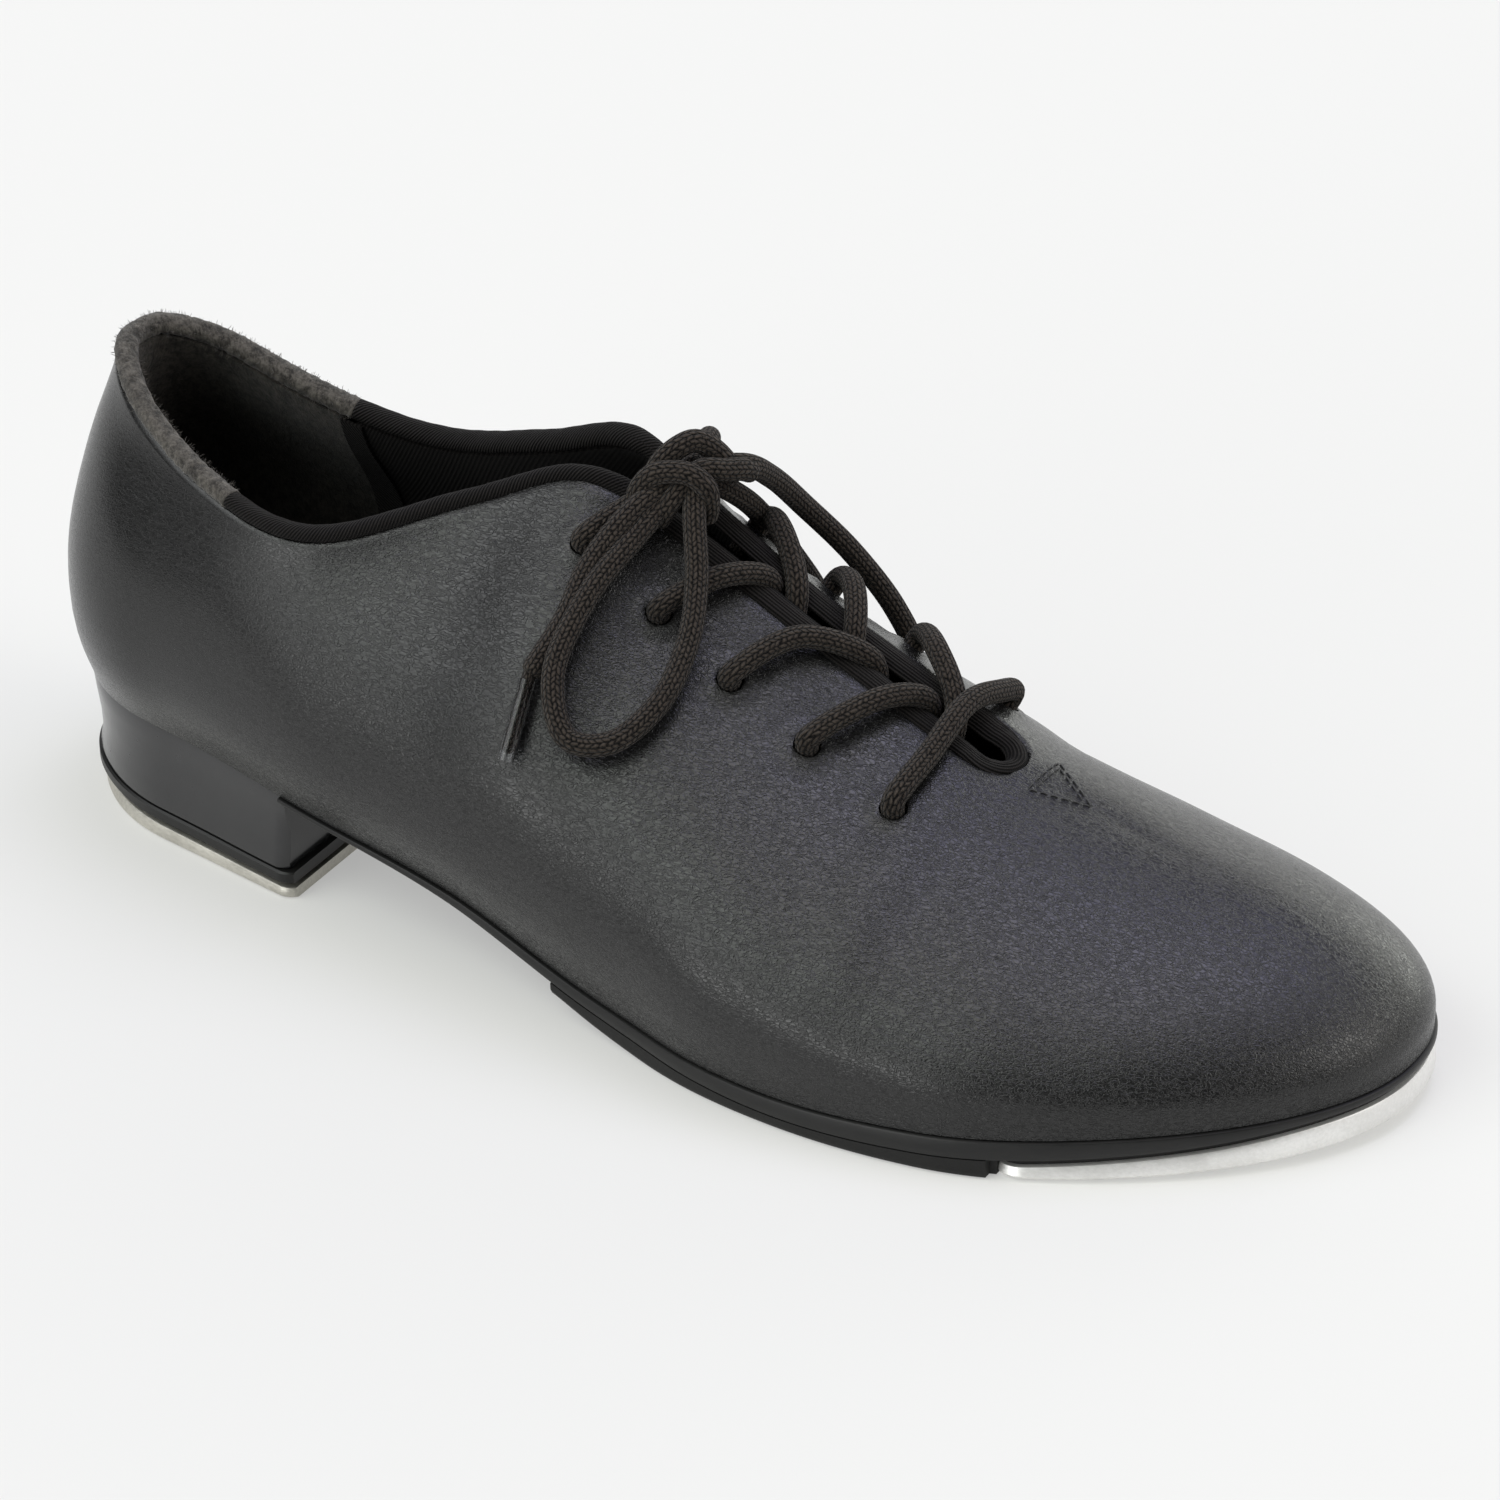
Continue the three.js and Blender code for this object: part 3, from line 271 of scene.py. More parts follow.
def wrapped(u, side, v):
    """The surface with u carried on past the heel or the toe, on to the other side."""
    u = np.asarray(u, float)
    side = np.where((u < 0) | (u > 1), -1.0, 1.0) * side
    return surface(np.where(u < 0, -u, np.where(u > 1, 2 - u, u)), side, v)


def normal(u, side, v):
    """Outward normals of the leather."""
    u, side, v = np.broadcast_arrays(np.asarray(u, float), side, v)
    across = wrapped(u + 0.008, side, v) - wrapped(u - 0.008, side, v)
    up = surface(u, side, np.minimum(v + 0.01, 1)) - surface(u, side, np.maximum(v - 0.01, 0))
    found = unit(np.cross(across, up) * -side[..., None])
    tx = curve(TOP_STATION, station(u))
    fall = curve(TOP_HEIGHT, tx + 0.5) - curve(TOP_HEIGHT, tx - 0.5)
    on_ridge = (v > 0.999) & (tx >= THROAT_BASE - 0.01)
    return np.where(on_ridge[..., None], unit(xyz(-fall, 0, 1)), found)


def on_leather(u, side, v, height):
    """Points at a height over the leather, or under it where the height is negative."""
    return surface(u, side, v) + normal(u, side, v) * np.asarray(height, float)[..., None]


# ---------------------------------------------------------------- mesh helpers
def make_mesh(name, points, faces, uv=None, sharp=None, wear=None):
    """Object from points in millimetres; uv holds one coordinate pair per point, in metres."""
    data = bpy.data.meshes.new(name)
    data.from_pydata(to_row(points).tolist(), [], [list(map(int, f)) for f in faces])
    if uv is not None:
        layer = data.uv_layers.new(name="UVMap")
        loops = np.zeros(len(data.loops), np.int32)
        data.loops.foreach_get("vertex_index", loops)
        layer.data.foreach_set("uv", np.asarray(uv, np.float32)[loops].ravel())
    if wear is not None:
        worn = data.attributes.new("wear", "FLOAT", "POINT")
        worn.data.foreach_set("value", np.asarray(wear, np.float32))
    obj = bpy.data.objects.new(name, data)
    bpy.context.scene.collection.objects.link(obj)
    weld(obj)
    data.polygons.foreach_set("use_smooth", [True] * len(data.polygons))
    if sharp is not None:
        data.set_sharp_from_angle(angle=math.radians(sharp))
    return obj


def weld(obj):
    """Join points that coincide, drop what collapses, and turn the faces outwards."""
    bm = bmesh.new()
    bm.from_mesh(obj.data)
    bmesh.ops.remove_doubles(bm, verts=bm.verts, dist=2e-6)
    bmesh.ops.dissolve_degenerate(bm, edges=bm.edges, dist=1e-6)
    bmesh.ops.recalc_face_normals(bm, faces=bm.faces)
    loose = [v for v in bm.verts if not v.link_faces]
    bmesh.ops.delete(bm, geom=loose, context="VERTS")
    bm.to_mesh(obj.data)
    bm.free()


def grid_faces(rows, columns, first=0, closed_columns=False, flip=False):
    """Quads of a grid whose point (i, k) has index first + i * columns + k."""
    i, k = np.arange(rows - 1), np.arange(columns if closed_columns else columns - 1)
    i, k = [a.ravel() for a in np.meshgrid(i, k, indexing="ij")]
    k2 = (k + 1) % columns
    quad = [i * columns + k, (i + 1) * columns + k, (i + 1) * columns + k2, i * columns + k2]
    quads = np.stack(quad[::-1] if flip else quad, -1) + first
    return quads.tolist()


def tube_faces(n, m):
    """Faces of n rings of m points, closed by fans to the two points that follow them."""
    last, first = (n - 1) * m, n * m
    faces = grid_faces(n, m)
    for k in range(m - 1):
        faces.append([k + 1, k, first])
        faces.append([last + k, last + k + 1, first + 1])
    return faces


def lengths(points):
    """Running length along an array of points."""
    steps = np.linalg.norm(np.diff(points, axis=0), axis=-1)
    return np.concatenate([np.zeros((1,) + steps.shape[1:]), np.cumsum(steps, axis=0)])


def columns(us, sides):
    return np.asarray(us, float), np.asarray(sides, float)


def round_toe(us):
    far = us[us < 1][::-1]
    return columns(np.concatenate([us, far]), [OUTER] * len(us) + [INNER] * len(far))


def round_heel(us):
    far = us[us > 0][::-1]
    return columns(np.concatenate([far, us]), [INNER] * len(far) + [OUTER] * len(us))


def punch(out, ins, sides, side, station_x, height):
    """Round one eyelet's edge in a ring's two grids, and find the quads that the hole takes."""
    u = loft_at_top(station_x)
    centre, axis = surface(u, side, height), unit(normal(u, side, height))
    rim = None
    for grid in (out, ins):
        offset = grid - centre
        along = offset @ axis
        flat = offset - along[..., None] * axis
        if rim is None:
            near = np.linalg.norm(flat, axis=-1) < EYELET + 0.35
            rim = near & (sides == side)[:, None] & (np.abs(along) < 6)
        snapped = centre + unit(flat) * EYELET + along[..., None] * axis
        grid[rim] = snapped[rim]
    pair = rim & np.roll(rim, -1, axis=0)
    return pair[:, :-1] & pair[:, 1:]


def layer(name, cols, levels, depth, closed=False, relief=None):
    """Layer of the upper between two depths below the outer face; a closed ring has eyelets."""
    us, sides = cols
    n, m = len(us), len(levels)
    u, side, v = us[:, None], sides[:, None], np.asarray(levels, float)[None, :]
    out, ins = [on_leather(u, side, v, np.full((n, m), -d)) for d in depth]
    wear = np.zeros((n, m))
    if relief is not None:
        lift, wear = relief(u, side, v, out)
        out = out + normal(u, side, v) * lift[..., None]
    keep = np.ones((n if closed else n - 1, m - 1), bool)
    if closed:
        for which in (OUTER, INNER):
            for x, height in EYELETS:
                keep &= ~punch(out, ins, sides, which, x, height)
    i, k = np.nonzero(keep)
    a, b = i * m + k, (i + 1) % n * m + k
    first = n * m
    outer = np.stack([a, b, b + 1, a + 1], -1).tolist()
    faces = outer + (np.stack([a, a + 1, b + 1, b], -1) + first).tolist()
    # A wall joins the two faces at each open edge, apart from the ridge where both sides meet.
    edges = {edge: None for quad in outer for edge in zip(quad, quad[1:] + quad[:1])}
    ridge = np.zeros((n, m), bool)
    ridge[:, -1] = curve(TOP_STATION, station(us)) >= THROAT_BASE - 0.01
    ridge = ridge.ravel()
    for p, q in edges:
        if (q, p) not in edges and not (ridge[p] and ridge[q]):
            faces.append([q, p, first + p, first + q])
    run = lengths(surface(us, sides, np.full(n, 0.6)))[:, None] * np.ones((1, m))
    rise = lengths(np.swapaxes(out, 0, 1)).T
    uv = np.stack([run, rise], -1).reshape(-1, 2) / 1000
    points = np.concatenate([out.reshape(-1, 3), ins.reshape(-1, 3)])
    return make_mesh(name, points, faces, np.tile(uv, (2, 1)), 50, np.tile(wear.ravel(), 2))


def smooth_path(points, spacing):
    """Centripetal Catmull-Rom curve through points, as evenly spaced points."""
    p = np.asarray(points, float)
    p = np.vstack([2 * p[0] - p[1], p, 2 * p[-1] - p[-2]])
    gaps = np.maximum(np.linalg.norm(np.diff(p, axis=0), axis=-1) ** 0.5, 1e-3)
    s = np.linspace(0, 1, 40, endpoint=False)[:, None]
    made = []
    for k in range(1, len(p) - 2):
        d0, d1, d2 = gaps[k - 1 : k + 2]
        a, b, c, d = p[k - 1 : k + 3]
        leaving = d1 * ((b - a) / d0 - (c - a) / (d0 + d1) + (c - b) / d1)
        arriving = d1 * ((c - b) / d1 - (d - b) / (d1 + d2) + (d - c) / d2)
        made.append(hermite(s, b, c, leaving, arriving))
    made.append(p[-2][None])
    line = np.vstack(made)
    run = lengths(line)
    count = max(4, int(round(run[-1] / spacing)))
    at = np.linspace(0, run[-1], count + 1)
    return np.stack([np.interp(at, run, line[:, k]) for k in range(3)], -1)


def transported(line):
    """Two cross directions that don't twist along a line of points."""
    tangent = unit(np.gradient(line, axis=0))
    a = np.zeros_like(line)
    side = np.array([0, 0, 1.0]) - tangent[0] * tangent[0][2]
    if np.linalg.norm(side) < 1e-3:
        side = np.cross(tangent[0], [0.3, 1, 0.2])
    a[0] = side / np.linalg.norm(side)
    for i in range(1, len(line)):
        side = a[i - 1] - tangent[i] * (a[i - 1] @ tangent[i])
        a[i] = side / np.linalg.norm(side)
    return a, np.cross(tangent, a)


def rings(line, radii, sides):
    """Rings of points round a line, with one radius at each of its points."""
    a, b = transported(line)
    angle = np.linspace(0, 2 * math.pi, sides + 1)[:, None]
    around = a[:, None] * np.cos(angle) + b[:, None] * np.sin(angle)
    return line[:, None] + around * radii[:, None, None]


def tube(line, radius, sides):
    """Points, faces and UVs of a round bar with rounded ends along a line."""
    run = lengths(line)
    to_end = np.minimum(run, run[-1] - run)
    fall = 1 - np.clip(to_end / (0.8 * radius), 0, 1)
    radii = radius * np.sqrt(np.clip(1 - fall**2, 0.02, 1))
    n, m = len(line), sides + 1
    points = np.vstack([rings(line, radii, sides).reshape(-1, 3), line[0], line[-1]])
    uv = np.stack([np.repeat(run / 1000, m), np.tile(np.linspace(0, 1, m), n)], -1)
    return points, tube_faces(n, m), np.vstack([uv, [[0, 0.5], [run[-1] / 1000, 0.5]]])


def joined(parts):
    """One set of points, faces and UVs from several."""
    points, faces, uvs, first = [], [], [], 0
    for p, f, t in parts:
        points.append(p)
        faces += [[i + first for i in face] for face in f]
        uvs.append(t)
        first += len(p)
    return np.vstack(points), faces, np.vstack(uvs)


# ---------------------------------------------------------------- materials
class Tree:
    """Short forms for building the node tree of a material or a world."""

    def __init__(self, owner):
        owner.use_nodes = True
        self.tree = owner.node_tree
        self.tree.nodes.clear()

    def put(self, socket, value):
        if isinstance(value, bpy.types.NodeSocket):
            self.tree.links.new(value, socket)
        elif isinstance(value, (tuple, list)) and len(value) == 3 and socket.type == "RGBA":
            socket.default_value = (*value, 1)
        else:
            socket.default_value = value

    def node(self, kind, inputs=None, output=0, **settings):
        made = self.tree.nodes.new(kind)
        for key, value in settings.items():
            setattr(made, key, value)
        for key, value in (inputs or {}).items():
            self.put(made.inputs[key], value)
        return made.outputs[output]

    def math(self, operation, a, b=0.0, c=0.0):
        return self.node("ShaderNodeMath", {0: a, 1: b, 2: c}, operation=operation)

    def times(self, a, b, plus=None):
        """a times b, plus a third value where one is given."""
        if plus is None:
            return self.math("MULTIPLY", a, b)
        return self.math("MULTIPLY_ADD", a, b, plus)


class Nodes(Tree):
    """A material with one Principled shader, and short forms for what feeds it."""

    def __init__(self, name):
        self.material = bpy.data.materials.new(name)
        super().__init__(self.material)
        out = self.tree.nodes.new("ShaderNodeOutputMaterial")
        self.shader = self.tree.nodes.new("ShaderNodeBsdfPrincipled")
        self.tree.links.new(self.shader.outputs[0], out.inputs[0])

    def set(self, **inputs):
        for key, value in inputs.items():
            self.put(self.shader.inputs[key.replace("_", " ")], value)

    def place(self, kind="Object"):
        return self.node("ShaderNodeTexCoord", output=kind)

    def mapped(self, vector, scale=(1, 1, 1), turn=(0, 0, 0)):
        return self.node("ShaderNodeMapping", {"Vector": vector, "Scale": scale, "Rotation": turn})

    def noise(self, vector, size, detail=2.0, rough=0.5, distortion=0.0):
        inputs = {"Vector": vector, "Scale": 1 / size, "Detail": detail, "Roughness": rough}
        return self.node("ShaderNodeTexNoise", {**inputs, "Distortion": distortion})

    def cells(self, vector, size):
        inputs = {"Vector": vector, "Scale": 1 / size}
        return self.node("ShaderNodeTexVoronoi", inputs, "Distance", feature="DISTANCE_TO_EDGE")
    def between(self, value, low, high, to_low=0.0, to_high=1.0):
        inputs = {"Value": value, "From Min": low, "From Max": high, "To Min": to_low, "To Max": to_high}
        return self.node("ShaderNodeMapRange", inputs, interpolation_type="SMOOTHSTEP")

    def share(self, factor, a, b):
        return self.node("ShaderNodeMix", {0: factor, 2: a, 3: b}, data_type="FLOAT")

    def mix(self, factor, a, b):
        return self.node("ShaderNodeMix", {0: factor, 6: a, 7: b}, output=2, data_type="RGBA")

    def axis(self, vector, name):
        return self.node("ShaderNodeSeparateXYZ", {0: vector}, output=name)

    def attribute(self, name):
        return self.node("ShaderNodeAttribute", output="Fac", attribute_name=name)

    def bump(self, height, distance, strength=1.0, after=None):
        inputs = {"Height": height, "Distance": distance, "Strength": strength}
        if after is not None:
            inputs["Normal"] = after
        return self.node("ShaderNodeBump", inputs)

    def wave(self, vector, along, pitch):
        """Sine wave across a direction, from 0 to 1."""
        direction = tuple(2 * math.pi * a / pitch for a in along)
        dot = {0: vector, 1: direction}
        phase = self.node("ShaderNodeVectorMath", dot, "Value", operation="DOT_PRODUCT")
        return self.times(self.math("SINE", phase), 0.5, 0.5)


def leather_material():
    """Smooth black grain: short wavy creases with finer cells between them."""
    n = Nodes("leather_black_grain")
    place = n.place()
    grained = n.between(n.axis(place, "X"), -0.105, -0.045, 0.25, 1.0)
    lying = n.mapped(place, (0.5, 1.0, 1.1), (0.2, math.radians(-20), 0.3))
    contour = n.math("ABSOLUTE", n.math("SUBTRACT", n.noise(lying, 0.0009, 1.5, 0.6, distortion=0.9), 0.5))
    creases = n.between(contour, 0.0, 0.075)
    cells = n.between(n.cells(lying, 0.00065), 0.0, 0.2)
    grooves = n.times(creases, n.times(cells, 0.5, 0.5))
    # The grain pattern is real; the lower specular level in its creases is painted shade.
    crease_shade_gloss = n.share(grained, 0.8, grooves)
    wear = n.attribute("wear")
    blotch = n.noise(place, 0.03, 3)
    dust = n.between(n.noise(place, 0.0012, 3, 0.7), 0.62, 0.8)
    base = n.mix(blotch, (0.0060, 0.0061, 0.0060), (0.0095, 0.0093, 0.0095))
    # Painted shade: the creases keep a darker base colour than the cells between them.
    base = n.mix(n.times(grooves, 0.3), base, (0.016, 0.016, 0.016))
    base = n.mix(n.times(wear, 0.75), base, (0.16, 0.155, 0.15))
    base = n.mix(n.times(dust, 0.03), base, (0.25, 0.25, 0.24))
    rough = n.times(n.noise(place, 0.012, 2), 0.05, 0.185)
    rough = n.times(n.math("SUBTRACT", 1.0, grooves), 0.10, rough)
    soft = n.bump(n.noise(place, 0.020, 2), 0.0006, 0.15)
    n.set(
        Base_Color=base,
        Roughness=rough,
        Specular_IOR_Level=n.times(crease_shade_gloss, 0.11, 0.36),
        Normal=n.bump(n.times(grooves, grained), 0.00009, 0.65, soft),
    )
    return n.material


def felt_material(name, dark, light):
    """Matted wool, with painted shade that darkens it from the rim down into the shoe."""
    n = Nodes(name)
    place = n.place()
    depth = n.times(n.axis(place, "X"), 0.55, n.axis(place, "Z"))
    shaded = n.between(depth, -0.012, 0.020, 0.36, 1.0)
    fibres = n.noise(n.mapped(place, (1, 1, 0.35), (0.4, 0.7, 0.2)), 0.0005, 4, 0.75)
    matted = n.noise(place, 0.0022, 4, 0.65)
    mixed = n.times(matted, 0.55, n.times(fibres, 0.45))
    base = n.mix(n.between(mixed, 0.36, 0.66), dark, light)
    # Painted shade: the colour darkens lower down and towards the heel, into the shoe, and the sheen fades
    # with it.
    base = n.mix(shaded, (0.002, 0.0017, 0.0014), base)
    n.set(
        Base_Color=base,
        Roughness=0.95,
        Specular_IOR_Level=0.12,
        Sheen_Weight=n.times(shaded, 0.2),
        Sheen_Roughness=0.5,
        Normal=n.bump(mixed, 0.0006, 0.9),
    )
    return n.material


def twill_material():
    """Woven twill: slanted ribs crossed by finer yarns."""
    n = Nodes("twill_black")
    pitch, lean = 0.00075, 0.62
    uv = n.place("UV")
    rib = n.wave(uv, (math.cos(lean), math.sin(lean), 0), pitch)
    yarn = n.wave(uv, (-math.sin(lean), math.cos(lean), 0), pitch * 0.8)
    fuzz = n.noise(n.place(), 0.0006, 3, 0.7)
    height = n.times(yarn, 0.35, rib)
    height = n.times(fuzz, 0.5, height)
    shade = n.times(fuzz, 0.6, n.times(rib, 0.4))
    base = n.mix(n.between(shade, 0.2, 0.8), (0.0010, 0.0008, 0.0008), (0.0135, 0.0118, 0.0112))
    n.set(
        Base_Color=base,
        Roughness=0.88,
        Specular_IOR_Level=0.12,
        Sheen_Weight=0.04,
        Normal=n.bump(height, 0.00016, 0.7),
    )
    return n.material


def binding_material():
    """Knitted rib tape: diagonal ribs round the collar, straight ribs along the throat."""
    n = Nodes("rib_tape_black")
    uv = n.place("UV")
    throat = n.attribute("wear")
    slant = n.wave(uv, (0.78, 0.62, 0), 0.00058)
    along = n.wave(uv, (0, 1, 0), 0.00068)
    cross = n.wave(uv, (1, 0, 0), 0.0005)
    rib = n.share(throat, slant, along)
    fuzz = n.noise(n.place(), 0.0007, 3, 0.7)
    height = n.times(cross, 0.22, rib)
    height = n.times(fuzz, 0.35, height)
    shade = n.times(rib, 0.65, n.times(fuzz, 0.4))
    base = n.mix(n.between(shade, 0.25, 0.8), (0.0007, 0.0006, 0.0006), (0.0155, 0.0135, 0.0128))
    n.set(
        Base_Color=base,
        Roughness=0.85,
        Specular_IOR_Level=0.12,
        Sheen_Weight=0.03,
        Normal=n.bump(height, 0.00032, 0.9),
    )
    return n.material


def lace_material():
    """Round braid: columns of slanted stitches that lean left and right in turn."""
    n = Nodes("cotton_braid_black")
    uv = n.place("UV")
    column = n.times(n.axis(uv, "Y"), 16.0)
    part = n.math("FRACT", column)
    parity = n.math("MODULO", n.math("FLOOR", column), 2.0)
    lean = n.times(parity, 2.0, -1.0)
    uneven = n.noise(n.place(), 0.0025, 3, 0.7)
    phase = n.times(uneven, 1.6, n.math("DIVIDE", n.axis(uv, "X"), 0.00125))
    phase = n.times(n.times(lean, 0.55), part, phase)
    stitch = n.math("ABSOLUTE", n.math("SINE", n.times(phase, math.pi)))
    ridge = n.math("SINE", n.times(part, math.pi))
    woven = n.math("SQRT", n.times(stitch, ridge))
    fuzz = n.noise(n.place(), 0.0008, 4, 0.8)
    soft = n.noise(n.place(), 0.004, 3, 0.6)
    shade = n.times(woven, 0.38, n.times(fuzz, 0.62))
    base = n.mix(n.between(shade, 0.38, 0.74), (0.0004, 0.0003, 0.0003), (0.056, 0.046, 0.038))
    base = n.mix(n.between(soft, 0.55, 0.8, 0.0, 0.3), base, (0.015, 0.012, 0.010))
    height = n.times(fuzz, 0.7, woven)
    n.set(
        Base_Color=base,
        Roughness=0.92,
        Specular_IOR_Level=0.1,
        Sheen_Weight=0.08,
        Sheen_Roughness=0.4,
        Normal=n.bump(height, 0.00045, 1.0),
    )
    return n.material


def plain_material(
    name, dark, light, rough, bump, size, metal=0.0, coat=0.0, streak=(1, 1, 1), specular=0.5
):
    """A base colour that varies between two tones, with matching roughness and fine bump."""
    n = Nodes(name)
    place = n.place()
    fine = n.noise(n.mapped(place, streak), size, 4, 0.65)
    broad = n.noise(place, 0.02, 3)
    tone = n.times(broad, 0.5, n.times(fine, 0.5))
    n.set(
        Base_Color=n.mix(n.between(tone, 0.3, 0.7), dark, light),
        Metallic=metal,
        Roughness=n.times(fine, 0.18, rough - 0.09),
        Specular_IOR_Level=specular,
        Coat_Weight=coat,
        Coat_Roughness=0.12,
        Normal=n.bump(fine, bump, 0.6),
    )
    return n.material


def clear_material():
    """Clear, slightly cloudy plastic."""
    n = Nodes("aglet_clear_plastic")
    cloud = n.noise(n.place(), 0.0015, 3)
    n.set(
        Base_Color=n.mix(cloud, (0.93, 0.94, 0.95), (0.99, 0.99, 1.0)),
        Roughness=n.times(cloud, 0.05, 0.02),
        Transmission_Weight=1.0,
        IOR=1.46,
        Normal=n.bump(n.noise(n.place(), 0.0025, 2), 0.0002, 0.3),
    )
    return n.material


LEATHER = leather_material()
FELT = felt_material("felt_grey", (0.017, 0.0155, 0.0135), (0.118, 0.108, 0.094))
# The heel lining is the same grey felt, coloured darker as painted shade inside the shoe.
FELT_PAINTED_SHADE = felt_material("felt_grey_painted_shade", (0.011, 0.0095, 0.008), (0.072, 0.063, 0.053))
TWILL = twill_material()
BINDING = binding_material()
COTTON = lace_material()
CLEAR = clear_material()
RUBBER = plain_material(
    "rubber_black", (0.006, 0.006, 0.006), (0.014, 0.0137, 0.0132), 0.62, 0.00012, 0.0007, specular=0.28
)
EDGE = plain_material(
    "sole_edge_black", (0.0045, 0.0045, 0.0045), (0.010, 0.0098, 0.0095), 0.42, 0.00008, 0.0014,
    streak=(0.25, 0.25, 1), specular=0.36,
)
HEEL = plain_material(
    "heel_lacquer_black", (0.008, 0.008, 0.009), (0.013, 0.013, 0.014), 0.24, 0.00003, 0.003, coat=0.3
)
ALUMINIUM = plain_material(
    "tap_aluminium", (0.74, 0.735, 0.715), (0.90, 0.895, 0.88), 0.40, 0.00004, 0.0006,
    metal=0.7, streak=(0.12, 1, 1),
)
# The heel tap's aluminium is a darker, warmer copy of the toe tap's: painted shade.
ALUMINIUM_PAINTED_SHADE = plain_material(
    "tap_aluminium_painted_shade", (0.40, 0.385, 0.345), (0.62, 0.60, 0.545), 0.46, 0.00008, 0.0006,
    metal=0.75, streak=(0.3, 1, 1),
)
STEEL = plain_material(
    "screw_steel", (0.42, 0.42, 0.42), (0.60, 0.60, 0.59), 0.38, 0.00003, 0.0005, metal=1.0
)
BOARD = plain_material(
    "fibre_board", (0.19, 0.135, 0.085), (0.32, 0.24, 0.16), 0.85, 0.0001, 0.0006, specular=0.2
)
STIFFENER = plain_material(
    "stiffener_board", (0.17, 0.155, 0.12), (0.30, 0.27, 0.215), 0.8, 0.00008, 0.0005, specular=0.2
)
THREAD = plain_material("thread_black", (0.006, 0.006, 0.006), (0.03, 0.03, 0.03), 0.6, 0.0001, 0.0003)


def dress(obj, material):
    obj.data.materials.clear()
    obj.data.materials.append(material)


def fit(obj, material, body, *nodes):
    """Dress a piece, hide the CAD nodes that it stands for, and put it on its body."""
    dress(obj, material)
    if nodes:
        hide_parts(*nodes)
    if body == "both":
        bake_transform(obj)
    else:
        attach(obj, body)


# ---------------------------------------------------------------- camera and light
def build_camera():
    """Camera above the outer side and a little in front, with its target a little off centre."""
    azimuth, elevation, roll = [math.radians(angle) for angle in (31.5, 30.85, -0.7)]
    distance = 1.16
    level = math.cos(elevation)
    back = Vector((math.sin(azimuth) * level, -math.cos(azimuth) * level, math.sin(elevation)))
    right = Vector((math.cos(azimuth), math.sin(azimuth), 0))
    up = back.cross(right)
    turned = right * math.cos(roll) + up * math.sin(roll)
    up = up * math.cos(roll) - right * math.sin(roll)
    data = bpy.data.cameras.new("camera")
    data.sensor_width = 36
    data.lens = 148.56
    data.shift_x = 0.0206
    data.shift_y = -0.0049
    data.clip_start, data.clip_end = 0.05, 50
    camera = bpy.data.objects.new("camera", data)
    bpy.context.scene.collection.objects.link(camera)
    turn = Matrix((turned, up, back)).transposed().to_4x4()
    target = Vector(to_row([141.5, 0, 40]).tolist())
    camera.matrix_world = Matrix.Translation(target + back * distance) @ turn
    bpy.context.scene.camera = camera


# Soft lights of the studio: the direction towards each, and its colour.
LIGHTS = [
    ((-0.6, -0.4, 0.7), (3.0, 3.05, 3.1)),  # window, high behind the heel on the near side
    ((0.1, 0.3, 0.95), (2.5, 2.5, 3.6)),  # ceiling on the far side, a little blue
    ((0, -0.05, 1), (2.3, 2.2, 2)),  # ceiling in the middle
    ((-0.15, -0.55, 0.8), (2.9, 3.1, 2.9)),  # ceiling on the near side
    ((-0.25, -0.95, 0.12), (5, 5.05, 5)),  # low panel on the near side
    ((0.85, 0.2, 0.5), (4.9, 4.8, 4.65)),  # panel beyond the toe
    ((0.2, 0.95, 0.15), (4.4, 4.5, 4.2)),  # low panel on the far side
    ((-0.5, 0.85, 0.25), (2.5, 2.5, 2.5)),  # low panel on the far side, behind the heel
]
LIGHT_FOCUS = 20.0  # each light fades out over about 20 degrees
PAPER = 0.913


def build_world():
    """A dim room with soft panels round the shoe, and white paper behind it."""
    world = bpy.data.worlds.new("studio")
    n = Tree(world)
    direction = n.node("ShaderNodeTexCoord", output="Generated")
    total = (0.0, 0.0, 0.0)
    for towards, colour in LIGHTS:
        towards = Vector(towards).normalized() * LIGHT_FOCUS
        dot = {0: direction, 1: towards}
        cosine = n.node("ShaderNodeVectorMath", dot, "Value", operation="DOT_PRODUCT")
        glow = n.math("EXPONENT", n.math("SUBTRACT", cosine, LIGHT_FOCUS))
        tinted = n.node("ShaderNodeVectorMath", {0: colour, 3: glow}, operation="SCALE")
        total = n.node("ShaderNodeVectorMath", {0: tinted, 1: total}, operation="ADD")
    seen = n.node("ShaderNodeLightPath", output="Is Camera Ray")
    inputs = {0: seen, 6: total, 7: (PAPER, PAPER, PAPER)}
    shown = n.node("ShaderNodeMix", inputs, 2, data_type="RGBA")
    background = n.node("ShaderNodeBackground", {"Color": shown})
    out = n.tree.nodes.new("ShaderNodeOutputWorld")
    n.tree.links.new(background, out.inputs[0])
    bpy.context.scene.world = world


def build_studio():
    """White floor and the studio's light."""
    scene = bpy.context.scene
    scene.view_settings.view_transform = "Standard"
    build_world()
    reach, drop = 6, -0.00005
    corners = [(-reach, -reach), (reach, -reach), (reach, reach), (-reach, reach)]
    data = bpy.data.meshes.new("studio_floor")
    data.from_pydata([(x, y, drop) for x, y in corners], [], [(0, 1, 2, 3)])
    floor = bpy.data.objects.new("studio_floor", data)
    scene.collection.objects.link(floor)
    n = Nodes("floor_white")
    n.set(
        Base_Color=(0.43, 0.43, 0.41),
        Roughness=0.7,
        Specular_IOR_Level=0.0,
        Emission_Color=(1.0, 1.0, 1.0),
        Emission_Strength=0.36,
    )
    floor.data.materials.append(n.material)


build_camera()
build_studio()

